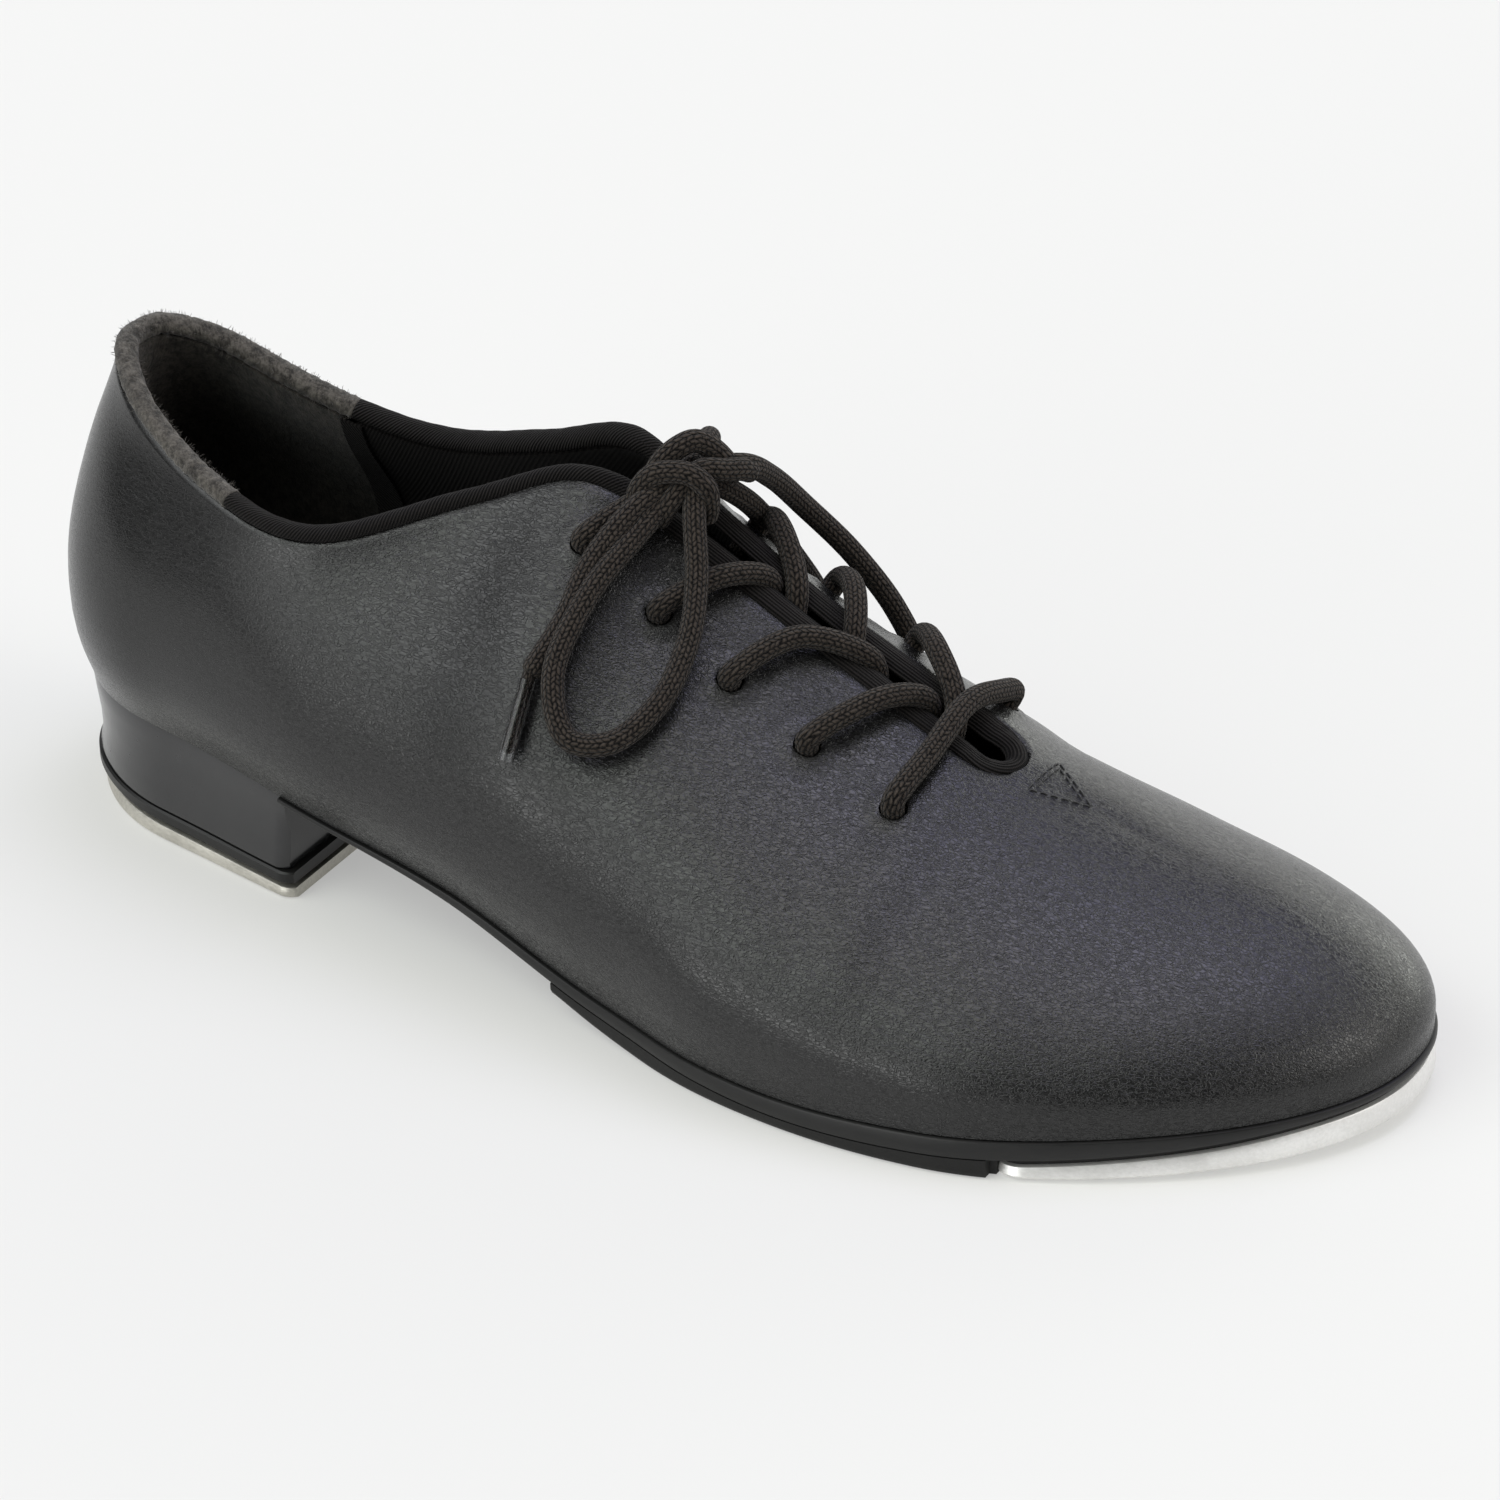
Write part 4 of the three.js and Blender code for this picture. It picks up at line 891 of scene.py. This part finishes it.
# ---------------------------------------------------------------- lace paths
def eyelet(k, side, height):
    x, v = EYELETS[k]
    return on_leather(loft_at_top(x), side, v, height)


def throat_point(x, y, height):
    """Point over the middle of the opening, by its offset across and its height over the rail."""
    return np.array([x, curve(TOP_CENTRE, x) + y, curve(TOP_HEIGHT, x) + height], float)


def over_to(k, side, stagger):
    """Way of the lace from under the throat over to eyelet k of a side, and down through it."""
    x = CROSSINGS[k - 1] + stagger
    edge = loft_at_top(EYELETS[k][0] + 7)
    return [
        throat_point(x, -side * 2.5, -7),
        throat_point(x, side * 1.5, 1.5),
        on_leather(edge, side, 0.97, 4),
        eyelet(k, side, 2.6),
        eyelet(k, side, -1),
        eyelet(k, side, -7),
    ]


def lace_half(first):
    """Half of the threaded lace, from the front cross-piece up through five holes to the knot."""
    other = -first
    stagger = 2.4 if first == OUTER else -2.4
    top = len(EYELETS) - 1
    return [
        throat_point(189.5, 0, 5.4),
        on_leather(loft_at_top(188.5), first, 0.93, 3.2),
        eyelet(0, first, 2.6),
        eyelet(0, first, -1),
        eyelet(0, first, -7),
        *over_to(1, other, stagger),
        *over_to(2, first, stagger),
        *over_to(3, other, stagger),
        throat_point(127, 0, -8 + stagger),
        eyelet(top, first, -7),
        eyelet(top, first, -1),
        eyelet(top, first, 2.8),
        KNOT + [-5, first * 6, -3],
        KNOT,
    ]


LOOP_OUTER = [
    KNOT, (130, -8, 86), (127, -22, 78), (127, -34, 67), (133, -39, 58.5), (140, -36, 58),
    (145, -27, 63), (145, -16, 71), (142, -8, 79), (138, -2, 88), (134, 5, 95),
]
LOOP_INNER = [
    KNOT, (139.4, 12, 93), (140, 22, 86), (142, 31, 76), (149, 37, 65), (156, 41, 53), (158, 43.5, 44),
    (150, 45, 40), (142, 43, 46), (138.5, 37, 58), (137, 28, 71), (137, 18, 82), (134, 8, 91),
]
END_OUTER = [KNOT, (128.5, -6, 90), (124.5, -17, 81.5), (124.5, -25.5, 74.5), (122, -34.5, 66)]
END_INNER = [
    KNOT,
    on_leather(loft_at_top(124), INNER, 1, 7),
    on_leather(loft_at_top(119), INNER, 0.85, 5),
    on_leather(loft_at_top(116), INNER, 0.7, 4),
    on_leather(loft_at_top(114), INNER, 0.57, 3.2),
]
TIP_OUTER = np.array([122.5, -43.8, 53.0])
TIP_INNER = on_leather(loft_at_top(113), INNER, 0.4, 3)


def lace_piece(name, points, node):
    """One stretch of lace as a braided tube, and the line that it follows."""
    line = smooth_path(points, 0.9)
    obj = make_mesh(name, *tube(line, LACE, 22))
    fit(obj, COTTON, "rearfoot", node)
    return obj, line


def aglet(name, points, tip, node):
    """Clear sleeve round the pressed end of the lace."""
    start = np.asarray(points[-1], float)
    along = unit(tip - start)
    core = smooth_path([start - along * 1.5, start + (tip - start) * 0.5, tip - along * 1.4], 0.6)
    inside = make_mesh(name + "_core", *tube(core, 1.3, 14))
    fit(inside, COTTON, "rearfoot")
    n, sides = 24, 24
    line = np.array([start + along * d for d in np.linspace(0.6, np.linalg.norm(tip - start), n)])
    pinch = 1 - 0.06 * np.exp(-((lengths(line) - 3) ** 2) / 2)
    skins = [rings(line, radius * pinch, sides).reshape(-1, 3) for radius in (1.62, 1.4)]
    m = sides + 1
    inner, last = n * m, (n - 1) * m
    faces = grid_faces(n, m) + grid_faces(n, m, first=inner, flip=True)
    for k in range(sides):
        faces.append([k + 1, k, inner + k, inner + k + 1])
        faces.append([last + k, last + k + 1, inner + last + k + 1, inner + last + k])
    sleeve = make_mesh(name + "_sleeve", np.vstack(skins), faces, sharp=50)
    fit(sleeve, CLEAR, "rearfoot", node)
    return [sleeve, inside]


def free_cord(name, points, node):
    obj, line = lace_piece(name, points, node)


def build_laces():
    run = lace_half(INNER)[::-1] + lace_half(OUTER)[1:]
    lace_piece("lace_laced", run, "lace")
    for which, loop in (("outer", LOOP_OUTER), ("inner", LOOP_INNER)):
        free_cord("bow_loop_" + which, loop, "lace_loop_" + which)
    for which, end, tip in (("outer", END_OUTER, TIP_OUTER), ("inner", END_INNER, TIP_INNER)):
        tips = aglet("tip_" + which, end, tip, "aglet_" + which)
        free_cord("bow_end_" + which, end, "lace_end_" + which)


def knot_wraps():
    """Wraps of the bow's knot, placed by its own axes: across, up and out of the instep."""
    across = np.array([0.853, 0.522, 0.0])
    up = np.array([-0.268, 0.437, 0.859])
    out = np.array([0.449, -0.732, 0.513])
    over_top = [
        (-7.5, -2, -1), (-5.5, 1.5, 2), (-2.5, 4.2, 3.2), (0.8, 5.6, 2.4), (3.8, 4.4, 1),
        (6.6, 1.6, -1), (8, -1.5, -4),
    ]
    front_band = [
        (-10, -7, -2), (-9.5, -3.5, 2.5), (-7, -0.8, 4.6), (-3.5, -0.2, 5.4), (0, -0.8, 5.8),
        (2.6, -3, 5), (3.2, -6.2, 2.4), (2.5, -9, -1),
    ]
    inner_lump = [(-1, -1.5, 3.4), (2.5, 0.2, 3.6), (6, 0.2, 2), (9.4, 0.4, -1), (11.5, 0, -5)]
    under_band = [(-6.5, -9.5, 0), (-4.4, -6.5, 3.2), (-2, -3.4, 3.6), (0.6, -1.5, 1.5)]
    parts = []
    for wrap in (over_top, front_band, inner_lump, under_band):
        points = [KNOT + across * a + up * b + out * c for a, b, c in wrap]
        parts.append(tube(smooth_path(points, 0.7), LACE, 22))
    fit(make_mesh("bow_knot", *joined(parts)), COTTON, "rearfoot")


build_laces()
knot_wraps()


# ---------------------------------------------------------------- upper
def spaced_u(top_stations):
    return loft_at_top(np.asarray(top_stations, float))


throat_u = float(loft_at_top(THROAT_BASE)) + 1e-5
seam_u = float(loft_at_top(SEAM_STATION))
heel_us = np.linspace(0, seam_u, 34)
quarter_stations = np.concatenate([np.linspace(SEAM_STATION, 108, 34)[1:], np.linspace(108, 195, 74)[1:]])
quarter_us = spaced_u(quarter_stations)
tip_us = spaced_u(THROAT_BASE - 6.7 * (1 - np.sin(np.linspace(0, math.pi / 2, 12)))[1:-1])
toe_us = np.linspace(throat_u, 1, 62)
LEVELS = np.concatenate(
    [np.linspace(0, TUCK, 7), np.linspace(TUCK, 0.68, 20)[1:], np.linspace(0.68, 0.97, 24)[1:], [0.985, 1.0]]
)


def leather_relief(u, side, v, at):
    """Raised rims round the eyelets, soft waves in the leather, and where it is rubbed."""
    lift = np.zeros(at.shape[:2])
    wear = np.zeros(at.shape[:2])
    for s in (OUTER, INNER):
        for x, height in EYELETS:
            centre = surface(loft_at_top(x), s, height)
            away = np.linalg.norm(at - centre, axis=-1)
            mine = (side * s > 0) * np.ones_like(away)
            lift += mine * 0.32 * np.exp(-(((away - EYELET - 0.8) / 0.9) ** 2))
            lift -= mine * 0.14 * np.exp(-(((away - EYELET - 3.6) / 2.2) ** 2))
            wear += mine * np.exp(-(((away - EYELET - 0.35) / 0.4) ** 2)) * (0.35 if x < 130 else 0.12)
    x, y, z = at[..., 0], at[..., 1], at[..., 2]
    wave = np.sin(x * 0.11 + z * 0.07 + side * 1.3) * np.sin(z * 0.13 - x * 0.05 + 0.6)
    wave += 0.6 * np.sin(x * 0.23 + y * 0.17 + 1.1) * np.sin(z * 0.19 + x * 0.04)
    fade = np.clip(v * 4, 0, 1) * np.clip((1 - v) * 9, 0, 1) * np.clip((SOLE_LENGTH - x) / 60, 0, 1)
    lift += 0.14 * wave * fade
    # The top edge is skived thinner and rolls over.
    open_edge = curve(TOP_STATION, station(u)) < THROAT_BASE - 1
    lift -= 0.45 * np.clip((v - 0.985) / 0.015, 0, 1) ** 2 * open_edge
    return lift, wear


def build_upper():
    us = np.concatenate([heel_us, quarter_us, tip_us, toe_us])
    ring = columns(np.concatenate([us, us[1:-1][::-1]]), [OUTER] * len(us) + [INNER] * (len(us) - 2))
    upper = layer("upper_leather", ring, LEVELS, LEATHER_DEPTH, closed=True, relief=leather_relief)
    fit(upper, LEATHER, "both", "upper_rear", "upper_crease", "upper_front")


def build_linings():
    low = np.linspace(0.02, 1, 26)
    heel = layer("heel_felt_lining", round_heel(heel_us[::2]), low, LINING_DEPTH)
    fit(heel, FELT_PAINTED_SHADE, "rearfoot", "heel_lining")
    start = spaced_u([SEAM_STATION + 1])
    us = np.concatenate([start, quarter_us[3::3], tip_us[::3], toe_us[::3]])
    if us[-1] < 1:
        us = np.append(us, 1.0)
    lining = layer("quarter_lining", round_toe(us), low, LINING_DEPTH)
    fit(lining, TWILL, "both", "lining_rear", "lining_crease", "lining_front")
    for side, which in ((OUTER, "outer"), (INNER, "inner")):
        us = spaced_u(SEAM_STATION + np.array([-2.2, -1.5, 0.0, 0.8, 1.6, 2.3]))
        fold = layer("seam_fold_" + which, columns(us, [side] * len(us)), low, (3.62, 4.3))
        fit(fold, TWILL, "rearfoot")
    puff = layer("toe_stiffener", round_toe(toe_us[8::3]), np.linspace(0.1, 1, 14), (1.7, 2.5))
    fit(puff, STIFFENER, "both", "toe_puff")


build_upper()
build_linings()


# ---------------------------------------------------------------- edge tapes
def rail_line(us, sides, spacing):
    """Evenly spaced points along the top rail, with the directions out of and beyond its edge."""
    points = surface(us, sides, 1.0)
    run = lengths(points)
    at = np.linspace(0, run[-1], int(run[-1] / spacing) + 1)
    # u runs on past the throat, or starts before the heel, while the rail is on the inner side.
    by_throat = sides[0] == OUTER
    turn = throat_u if by_throat else 0.0
    where = np.interp(at, run, np.where(sides == INNER, 2 * turn - us, us))
    inner = where > turn if by_throat else where < turn
    u = np.where(inner, 2 * turn - where, where)
    line = np.stack([np.interp(at, run, points[:, k]) for k in range(3)], -1)
    out = normal(u, np.where(inner, INNER, OUTER), 0.985)
    for _ in range(6):
        out[1:-1] = unit(out[:-2] + 2 * out[1:-1] + out[2:])
    beyond = unit(np.cross(out, unit(np.gradient(line, axis=0))))
    return u, at, line, out, beyond


def swept(name, line, beyond, out, run, profile, relief, wear=None):
    """Closed bead: profile gives offsets along beyond and out at each station."""
    n, m = profile.shape[:2]
    points = line[:, None] + beyond[:, None] * profile[..., :1] + out[:, None] * profile[..., 1:2]
    around = lengths(np.swapaxes(profile, 0, 1)).T
    centre = points[:, :-1].mean(1, keepdims=True)
    points = points + unit(points - centre) * relief(run[:, None], around, points)[..., None]
    points[:, -1] = points[:, 0]
    uv = np.stack([np.repeat(run, m), around.ravel()], -1) / 1000
    caps = points[[0, -1], :-1].mean(1)
    if wear is not None:
        wear = np.concatenate([np.repeat(wear, m), wear[:1], wear[-1:]])
    points = np.vstack([points.reshape(-1, 3), caps])
    return make_mesh(name, points, tube_faces(n, m), uv=np.vstack([uv, uv[:1], uv[-1:]]), wear=wear)


def oval(reach, thick, beyond_at, out_at, tilt, count):
    """Oval profile, one per station: half sizes, centre offset and tilt in radians."""
    angle = np.linspace(0, 2 * math.pi, count + 1)[None, :]
    a, b = reach[:, None] * np.cos(angle), thick[:, None] * np.sin(angle)
    c, s = np.cos(tilt)[:, None], np.sin(tilt)[:, None]
    return np.stack([beyond_at[:, None] + a * c - b * s, out_at[:, None] + a * s + b * c], -1)


def build_tapes():
    """Tape bound round the collar and the throat, and the felt strip round the heel's rim."""
    near = np.concatenate([spaced_u([SEAM_STATION + 0.1]), quarter_us[1:], tip_us, [throat_u]])
    us = np.concatenate([near, near[:-1][::-1]])
    sides = np.array([OUTER] * len(near) + [INNER] * (len(near) - 1))
    u, run, line, out, beyond = rail_line(us, sides, 0.5)
    x = curve(TOP_STATION, station(u))
    # The round collar edge turns into a flat, tilted band along the throat.
    t = np.clip((x - 112) / 22, 0, 1)
    t = t * t * (3 - 2 * t)
    mixed = lambda a, b: a * (1 - t) + b * t
    tip = np.clip((THROAT_BASE - x) / 9, 0, 1)
    reach = mixed(1.75, 2.75) * (1 - t * 0.28 * (1 - tip))
    beyond_at = mixed(1.75, 2.5) * (1 - t * 0.2 * (1 - tip))
    profile = oval(reach, mixed(2.35, 1.15), beyond_at, mixed(-1.5, -1.3), mixed(0.0, -0.42), 36)

    def ribs(s, around, points):
        straight = 0.09 * np.cos(2 * math.pi * around / 0.95)
        lumpy = 0.05 * np.sin(s * 0.9 + around) * np.sin(s * 0.37)
        return t[:, None] * straight + lumpy

    tape = swept("topline_binding", line, beyond, out, run, profile, ribs, wear=t)
    fit(tape, BINDING, "rearfoot", "topline_tape")

    u, run, line, out, beyond = rail_line(*round_heel(heel_us), 0.45)
    profile = oval(*[np.full(len(u), size) for size in (1.9, 2.3, 1.75, -1.5, 0.0)], 30)

    def matted(s, around, points):
        p = points * 1.9
        rough = np.sin(p[..., 0] * 1.3 + 2 * np.sin(p[..., 1])) * np.sin(p[..., 2] * 1.1 + p[..., 1] * 0.7)
        rough += 0.5 * np.sin(p[..., 0] * 3.1 + p[..., 2] * 2.3) * np.sin(p[..., 1] * 2.7)
        return 0.11 * rough

    strip = swept("heel_felt_edge", line, beyond, out, run, profile, matted)
    fit(strip, FELT, "rearfoot", "heel_edge_strip")
    return line, beyond, out


felt_line = build_tapes()


def build_fibres(line, beyond, out, count=900):
    """Loose fibres that stand out of the felt strip."""
    parts = []
    for _ in range(count):
        i = random.integers(2, len(line) - 2)
        angle = random.uniform(-0.6, math.pi + 0.5)
        sine, cosine = math.sin(angle), math.cos(angle)
        away = beyond[i] * sine - out[i] * cosine * 1.1
        root = line[i] + beyond[i] * (1.75 + 1.85 * sine) - out[i] * (1.75 + 2.45 * cosine)
        bend = unit(random.normal(size=3))
        long = random.uniform(0.5, 1.3)
        tip = root + unit(away + bend * 0.9) * long
        middle = (root + tip) / 2 + bend * long * 0.25
        fibre = smooth_path([root - away * 0.2, middle, tip], long / 3)
        parts.append(tube(fibre, 0.045, 4))
    fit(make_mesh("felt_fibres", *joined(parts)), FELT, "rearfoot")


build_fibres(*felt_line)


# ---------------------------------------------------------------- tongue
def build_tongue():
    """Curved strip under the laces, a little thicker along its middle."""
    half, thick = 17, 1.7
    xs, ys = np.linspace(112, 203, 46), np.linspace(-half, half, 25)
    depth = curve([(112, 11), (150, 11), (190, 10), (203, 5)], xs)[:, None]
    fall = curve([(112, 0.05), (150, 0.04), (203, 0.018)], xs)[:, None]
    x, y = np.meshgrid(xs, ys, indexing="ij")
    z = curve(TOP_HEIGHT, x) - depth - fall * y**2
    crown = 0.25 * np.sin(math.pi * (y + half) / (2 * half))
    n, m = x.shape
    skins = [xyz(x, curve(TOP_CENTRE, x) + y, z + up).reshape(-1, 3) for up in (crown, -thick)]
    faces = grid_faces(n, m) + grid_faces(n, m, first=n * m, flip=True)
    edge = [(i, 0) for i in range(n)] + [(n - 1, k) for k in range(1, m)]
    edge += [(i, m - 1) for i in range(n - 2, -1, -1)] + [(0, k) for k in range(m - 2, 0, -1)]
    for (i, k), (i2, k2) in zip(edge, edge[1:] + edge[:1]):
        a, b = i * m + k, i2 * m + k2
        faces.append([a, b, n * m + b, n * m + a])
    uv = np.stack([x.ravel(), y.ravel()], -1) / 1000
    tongue = make_mesh("tongue_twill", np.vstack(skins), faces, uv=np.vstack([uv, uv]), sharp=60)
    fit(tongue, TWILL, "rearfoot", "tongue")


build_tongue()


# ---------------------------------------------------------------- sole stack
def outline(u, side, inset):
    """Outline of the sole at u, moved in from the feather line."""

    def at(w):
        t = np.where(w < 0, -w, np.where(w > 1, 2 - w, w))
        s = np.where((w < 0) | (w > 1), -side, side)
        p = station(t)
        return np.stack([p, curve(CENTRE_LINE, p) + s * half_width(p, s)], -1)

    along = unit(at(u + 0.004) - at(u - 0.004))
    inwards = np.stack([along[:, 1], -along[:, 0]], -1) * side
    return at(u) + inwards * inset


def slab(name, us, levels):
    """Solid between outlines at several levels; a level is (inset, height of x) or its own function."""
    rows = []
    for made in levels:
        sides = []
        for side in (OUTER, INNER):
            if callable(made):
                sides.append(made(us, side))
            else:
                inset, z = made
                p = outline(us, side, inset)
                sides.append(xyz(p[:, 0], p[:, 1], z(p[:, 0])))
        rows.append(np.vstack([sides[0], sides[1][::-1]]))
    ring = np.stack(rows)
    count, m = ring.shape[:2]
    points = ring.reshape(-1, 3)
    faces = grid_faces(count, m, closed_columns=True, flip=True)
    top = (count - 1) * m
    for i in range(len(us) - 1):
        j, j2 = m - 1 - i, m - 2 - i
        faces.append([i, j, j2, i + 1])
        faces.append([top + i, top + i + 1, top + j2, top + j])
    return make_mesh(name, points, faces, uv=points[:, :2] / 1000, sharp=35)


def feather(x):
    return curve(FEATHER_HEIGHT, x)


def between(low, high, count):
    return np.linspace(loft_at(low), loft_at(high), count)


def tap_bottom(x):
    return np.maximum(curve(TOE_SPRING, x), 0)


def outsole_bottom(x):
    return feather(x) - GAP - curve(OUTSOLE, x)


def under_outsole(x):
    return outsole_bottom(x) - GAP


def tap_top(x):
    return under_outsole(x) - PACKING - GAP


def corner(to_end, radius):
    """Extra inset that rounds a corner off, for a station some way before a square end."""
    return radius * (1 - rounding(to_end, radius, 2))


def above(base, by):
    return lambda x: base(x) + by


def flat(z):
    return lambda x: z + 0 * x


def placed(u, side, inset, z):
    p = outline(u, side, inset[:, None])
    return xyz(p[:, 0], p[:, 1], z(p[:, 0]))


def tap_level(inset, z):
    """Level of the toe tap, whose back corners are rounded."""
    return lambda u, side: placed(u, side, inset + corner(station(u) + 0.6 - TOE_TAP_START, TAP_CORNER), z)


def heel_level(inset, z, end=BREAST, narrower=((0, 0), (1, 0))):
    """Level of the heel's foot, which flares to the sides and has rounded front corners."""

    def level(u, side):
        x = station(u)
        flare = curve(HEEL_FLARE, x) + curve(narrower, x) + corner(end + 0.6 - x, HEEL_CORNER)
        return placed(u, side, inset + flare, z)

    return level


def build_sole():
    full = np.linspace(0, 1, 120)
    edge = SOLE_EDGE
    outsole = slab(
        "outsole_sheet",
        between(BREAST - 1, SOLE_LENGTH, 120),
        [
            (0.4 - edge, outsole_bottom),
            (0.1 - edge, above(outsole_bottom, 0.12)),
            (-edge, above(outsole_bottom, 0.35)),
            (-edge, above(feather, -GAP - 0.35)),
            (0.15 - edge, above(feather, -GAP - 0.1)),
            (0.5 - edge, above(feather, -GAP + 0.05)),
        ],
    )
    fit(outsole, EDGE, "both", "outsole_rear", "outsole_front")
    insole = slab("insole_fibre", full, [(4.4, above(feather, 1.6)), (4.4, above(feather, 3.6))])
    fit(insole, BOARD, "both", "insole_board_rear", "insole_board_front")
    sock_levels = [(inset, above(feather, by)) for inset, by in ((5, 3.9), (4.7, 4.6), (5.4, 5.1))]
    sock = slab("insole_sock", full, sock_levels)
    fit(sock, TWILL, "both", "sock_lining_rear", "sock_lining_front")

    def pad_bottom(x):
        return np.maximum(curve(PAD_BOTTOM, x), 0)

    pad = slab(
        "forefoot_rubber",
        between(PAD_START, PAD_END, 70),
        [
            (0.2, pad_bottom),
            (-0.2, above(pad_bottom, 0.3)),
            (-edge, lambda x: np.minimum(pad_bottom(x) + 1.2, under_outsole(x))),
            (-edge, above(outsole_bottom, -0.05)),
        ],
    )
    fit(pad, RUBBER, "both", "forefoot_pad_rear", "forefoot_pad_front")
    # Painted shade: a dark rubber block fills the gap between the pad and the toe tap, standing in for the
    # shadow in that gap.
    gap_shade_block = slab(
        "toe_tap_gap_shade_block",
        between(PAD_END + 0.1, TOE_TAP_START - 0.05, 6),
        [(1.2, flat(0.3)), (1.0, above(outsole_bottom, -0.1))],
    )
    fit(gap_shade_block, RUBBER, "forefoot")
    corner_end = TOE_TAP_START + TAP_CORNER
    us = np.concatenate([between(TOE_TAP_START, corner_end, 9), between(corner_end, SOLE_LENGTH, 66)[1:]])
    board = slab("toe_tap_packing", us, [tap_level(0.9, above(tap_top, 0.05)), tap_level(0.6, under_outsole)])
    fit(board, RUBBER, "forefoot", "toe_tap_board")
    tap_levels = [
        tap_level(0.9, tap_bottom),
        tap_level(0.2, above(tap_bottom, 0.25)),
        tap_level(-0.35, above(tap_bottom, 0.7)),
        tap_level(-0.6, above(tap_bottom, 1.2)),
        tap_level(-0.15, above(tap_top, -0.5)),
        tap_level(0.05, above(tap_top, -0.15)),
        tap_level(0.4, tap_top),
    ]
    fit(slab("toe_tap_plate", us, tap_levels), ALUMINIUM, "forefoot", "toe_tap")


def lift_bottom(x):
    return curve(LIFT_BOTTOM, x)


def heel_tap_top(x):
    return lift_bottom(x) - 2 * GAP - HEEL_BOARD


def heel_range(end):
    return np.concatenate([between(0, end - HEEL_CORNER, 60), between(end - HEEL_CORNER, end, 9)[1:]])


def build_heel():
    us = heel_range(BREAST)
    foot = above(lift_bottom, LIFT + 0.05)

    def share(part):
        return lambda x: foot(x) + part * (feather(x) - GAP - foot(x))

    block = slab(
        "heel_block_lacquered",
        us,
        [
            heel_level(0.6, foot),
            heel_level(0.2, above(foot, 0.25)),
            heel_level(0.15, above(foot, 0.9)),
            heel_level(0.45, share(0.22), narrower=((0, 0.3), (66, 0.2))),
            heel_level(0.55, share(0.5), narrower=((0, -0.2), (28, 0.5), (66, 0.4))),
            (0.4, share(0.78)),
            (0.15, share(0.93)),
            (0.3, share(1.0)),
        ],
    )
    fit(block, HEEL, "rearfoot", "heel_block")
    end = BREAST + 1.4
    wide = heel_range(end)
    profile = [(0, 0), (-0.4, 0.3), (-0.4, LIFT - 0.35), (0, LIFT)]
    levels = [heel_level(inset, above(lift_bottom, by), end) for inset, by in profile]
    fit(slab("heel_lift_rubber", wide, levels), EDGE, "rearfoot", "heel_top_lift")
    faces = (above(heel_tap_top, 0.05), above(lift_bottom, -0.05))
    levels = [heel_level(1, z, narrower=HEEL_TAP_INSET) for z in faces]
    fit(slab("heel_tap_packing", us, levels), RUBBER, "rearfoot", "heel_tap_board")
    profile = [(0.6, flat(0.0)), (0.0, flat(0.2)), (-0.4, flat(0.55)), (-0.5, flat(0.9))]
    profile += [(-0.15, above(heel_tap_top, -0.4)), (0.05, above(heel_tap_top, -0.12)), (0.4, heel_tap_top)]
    levels = [heel_level(inset, z, end, HEEL_TAP_INSET) for inset, z in profile]
    fit(slab("heel_tap_plate", wide, levels), ALUMINIUM_PAINTED_SHADE, "rearfoot", "heel_tap")


build_sole()
build_heel()


# ---------------------------------------------------------------- stitches and small trim
def stitch_run(start, end, count, height):
    """Short threads along a plan line on the vamp, each rising out of one hole and into the next."""
    parts = []
    start, end = np.asarray(start, float), np.asarray(end, float)
    for k in range(count):
        shares = (k + np.array([0.12, 0.28, 0.5, 0.72, 0.88])) / count
        plan = [start + (end - start) * share for share in shares]
        points = [[x, y, height(x, y) + rise] for (x, y), rise in zip(plan, (-0.25, 0.14, 0.18, 0.14, -0.25))]
        parts.append(tube(smooth_path(points, 0.25), 0.17, 8))
    return parts


def vamp_height(x, y):
    """Height of the leather's outer face at a plan position on the vamp."""
    side = OUTER if y < curve(TOP_CENTRE, x) else INNER
    low, high = 0.45, 1.0
    u = float(loft_at_top(x))
    for _ in range(30):
        v = (low + high) / 2
        p = surface(u, side, v)
        u = float(np.clip(u + (x - p[0]) * 0.0016, 0, 1))
        if (p[1] - y) * side > 0:
            low = v
        else:
            high = v
    return float(surface(u, side, v)[2])


def build_stitches():
    """The triangle sewn below the throat: two of its sides are sewn twice."""
    corners = np.array([(204.9, 4.3), (204.9, 16.4), (215.5, 9.4)])
    middle = corners.mean(axis=0)
    inner = middle + (corners - middle) * 0.72
    parts = []
    for ring, counts in ((corners, (5, 5, 6)), (inner, (4, 4))):
        for k, count in enumerate(counts):
            parts += stitch_run(ring[k], ring[(k + 1) % 3], count, vamp_height)
    fit(make_mesh("throat_stitching", *joined(parts)), THREAD, "both")


build_stitches()


# ---------------------------------------------------------------- finish of the CAD nodes that stay
FINISHES = {
    "shank": STEEL,
    "heel_counter": STIFFENER,
    "eyelet_stay_outer": STIFFENER,
    "eyelet_stay_inner": STIFFENER,
}
for node_name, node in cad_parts.items():
    if node_name in FINISHES:
        dress(node, FINISHES[node_name])
    elif "screw" in node_name or "nail" in node_name:
        dress(node, STEEL)
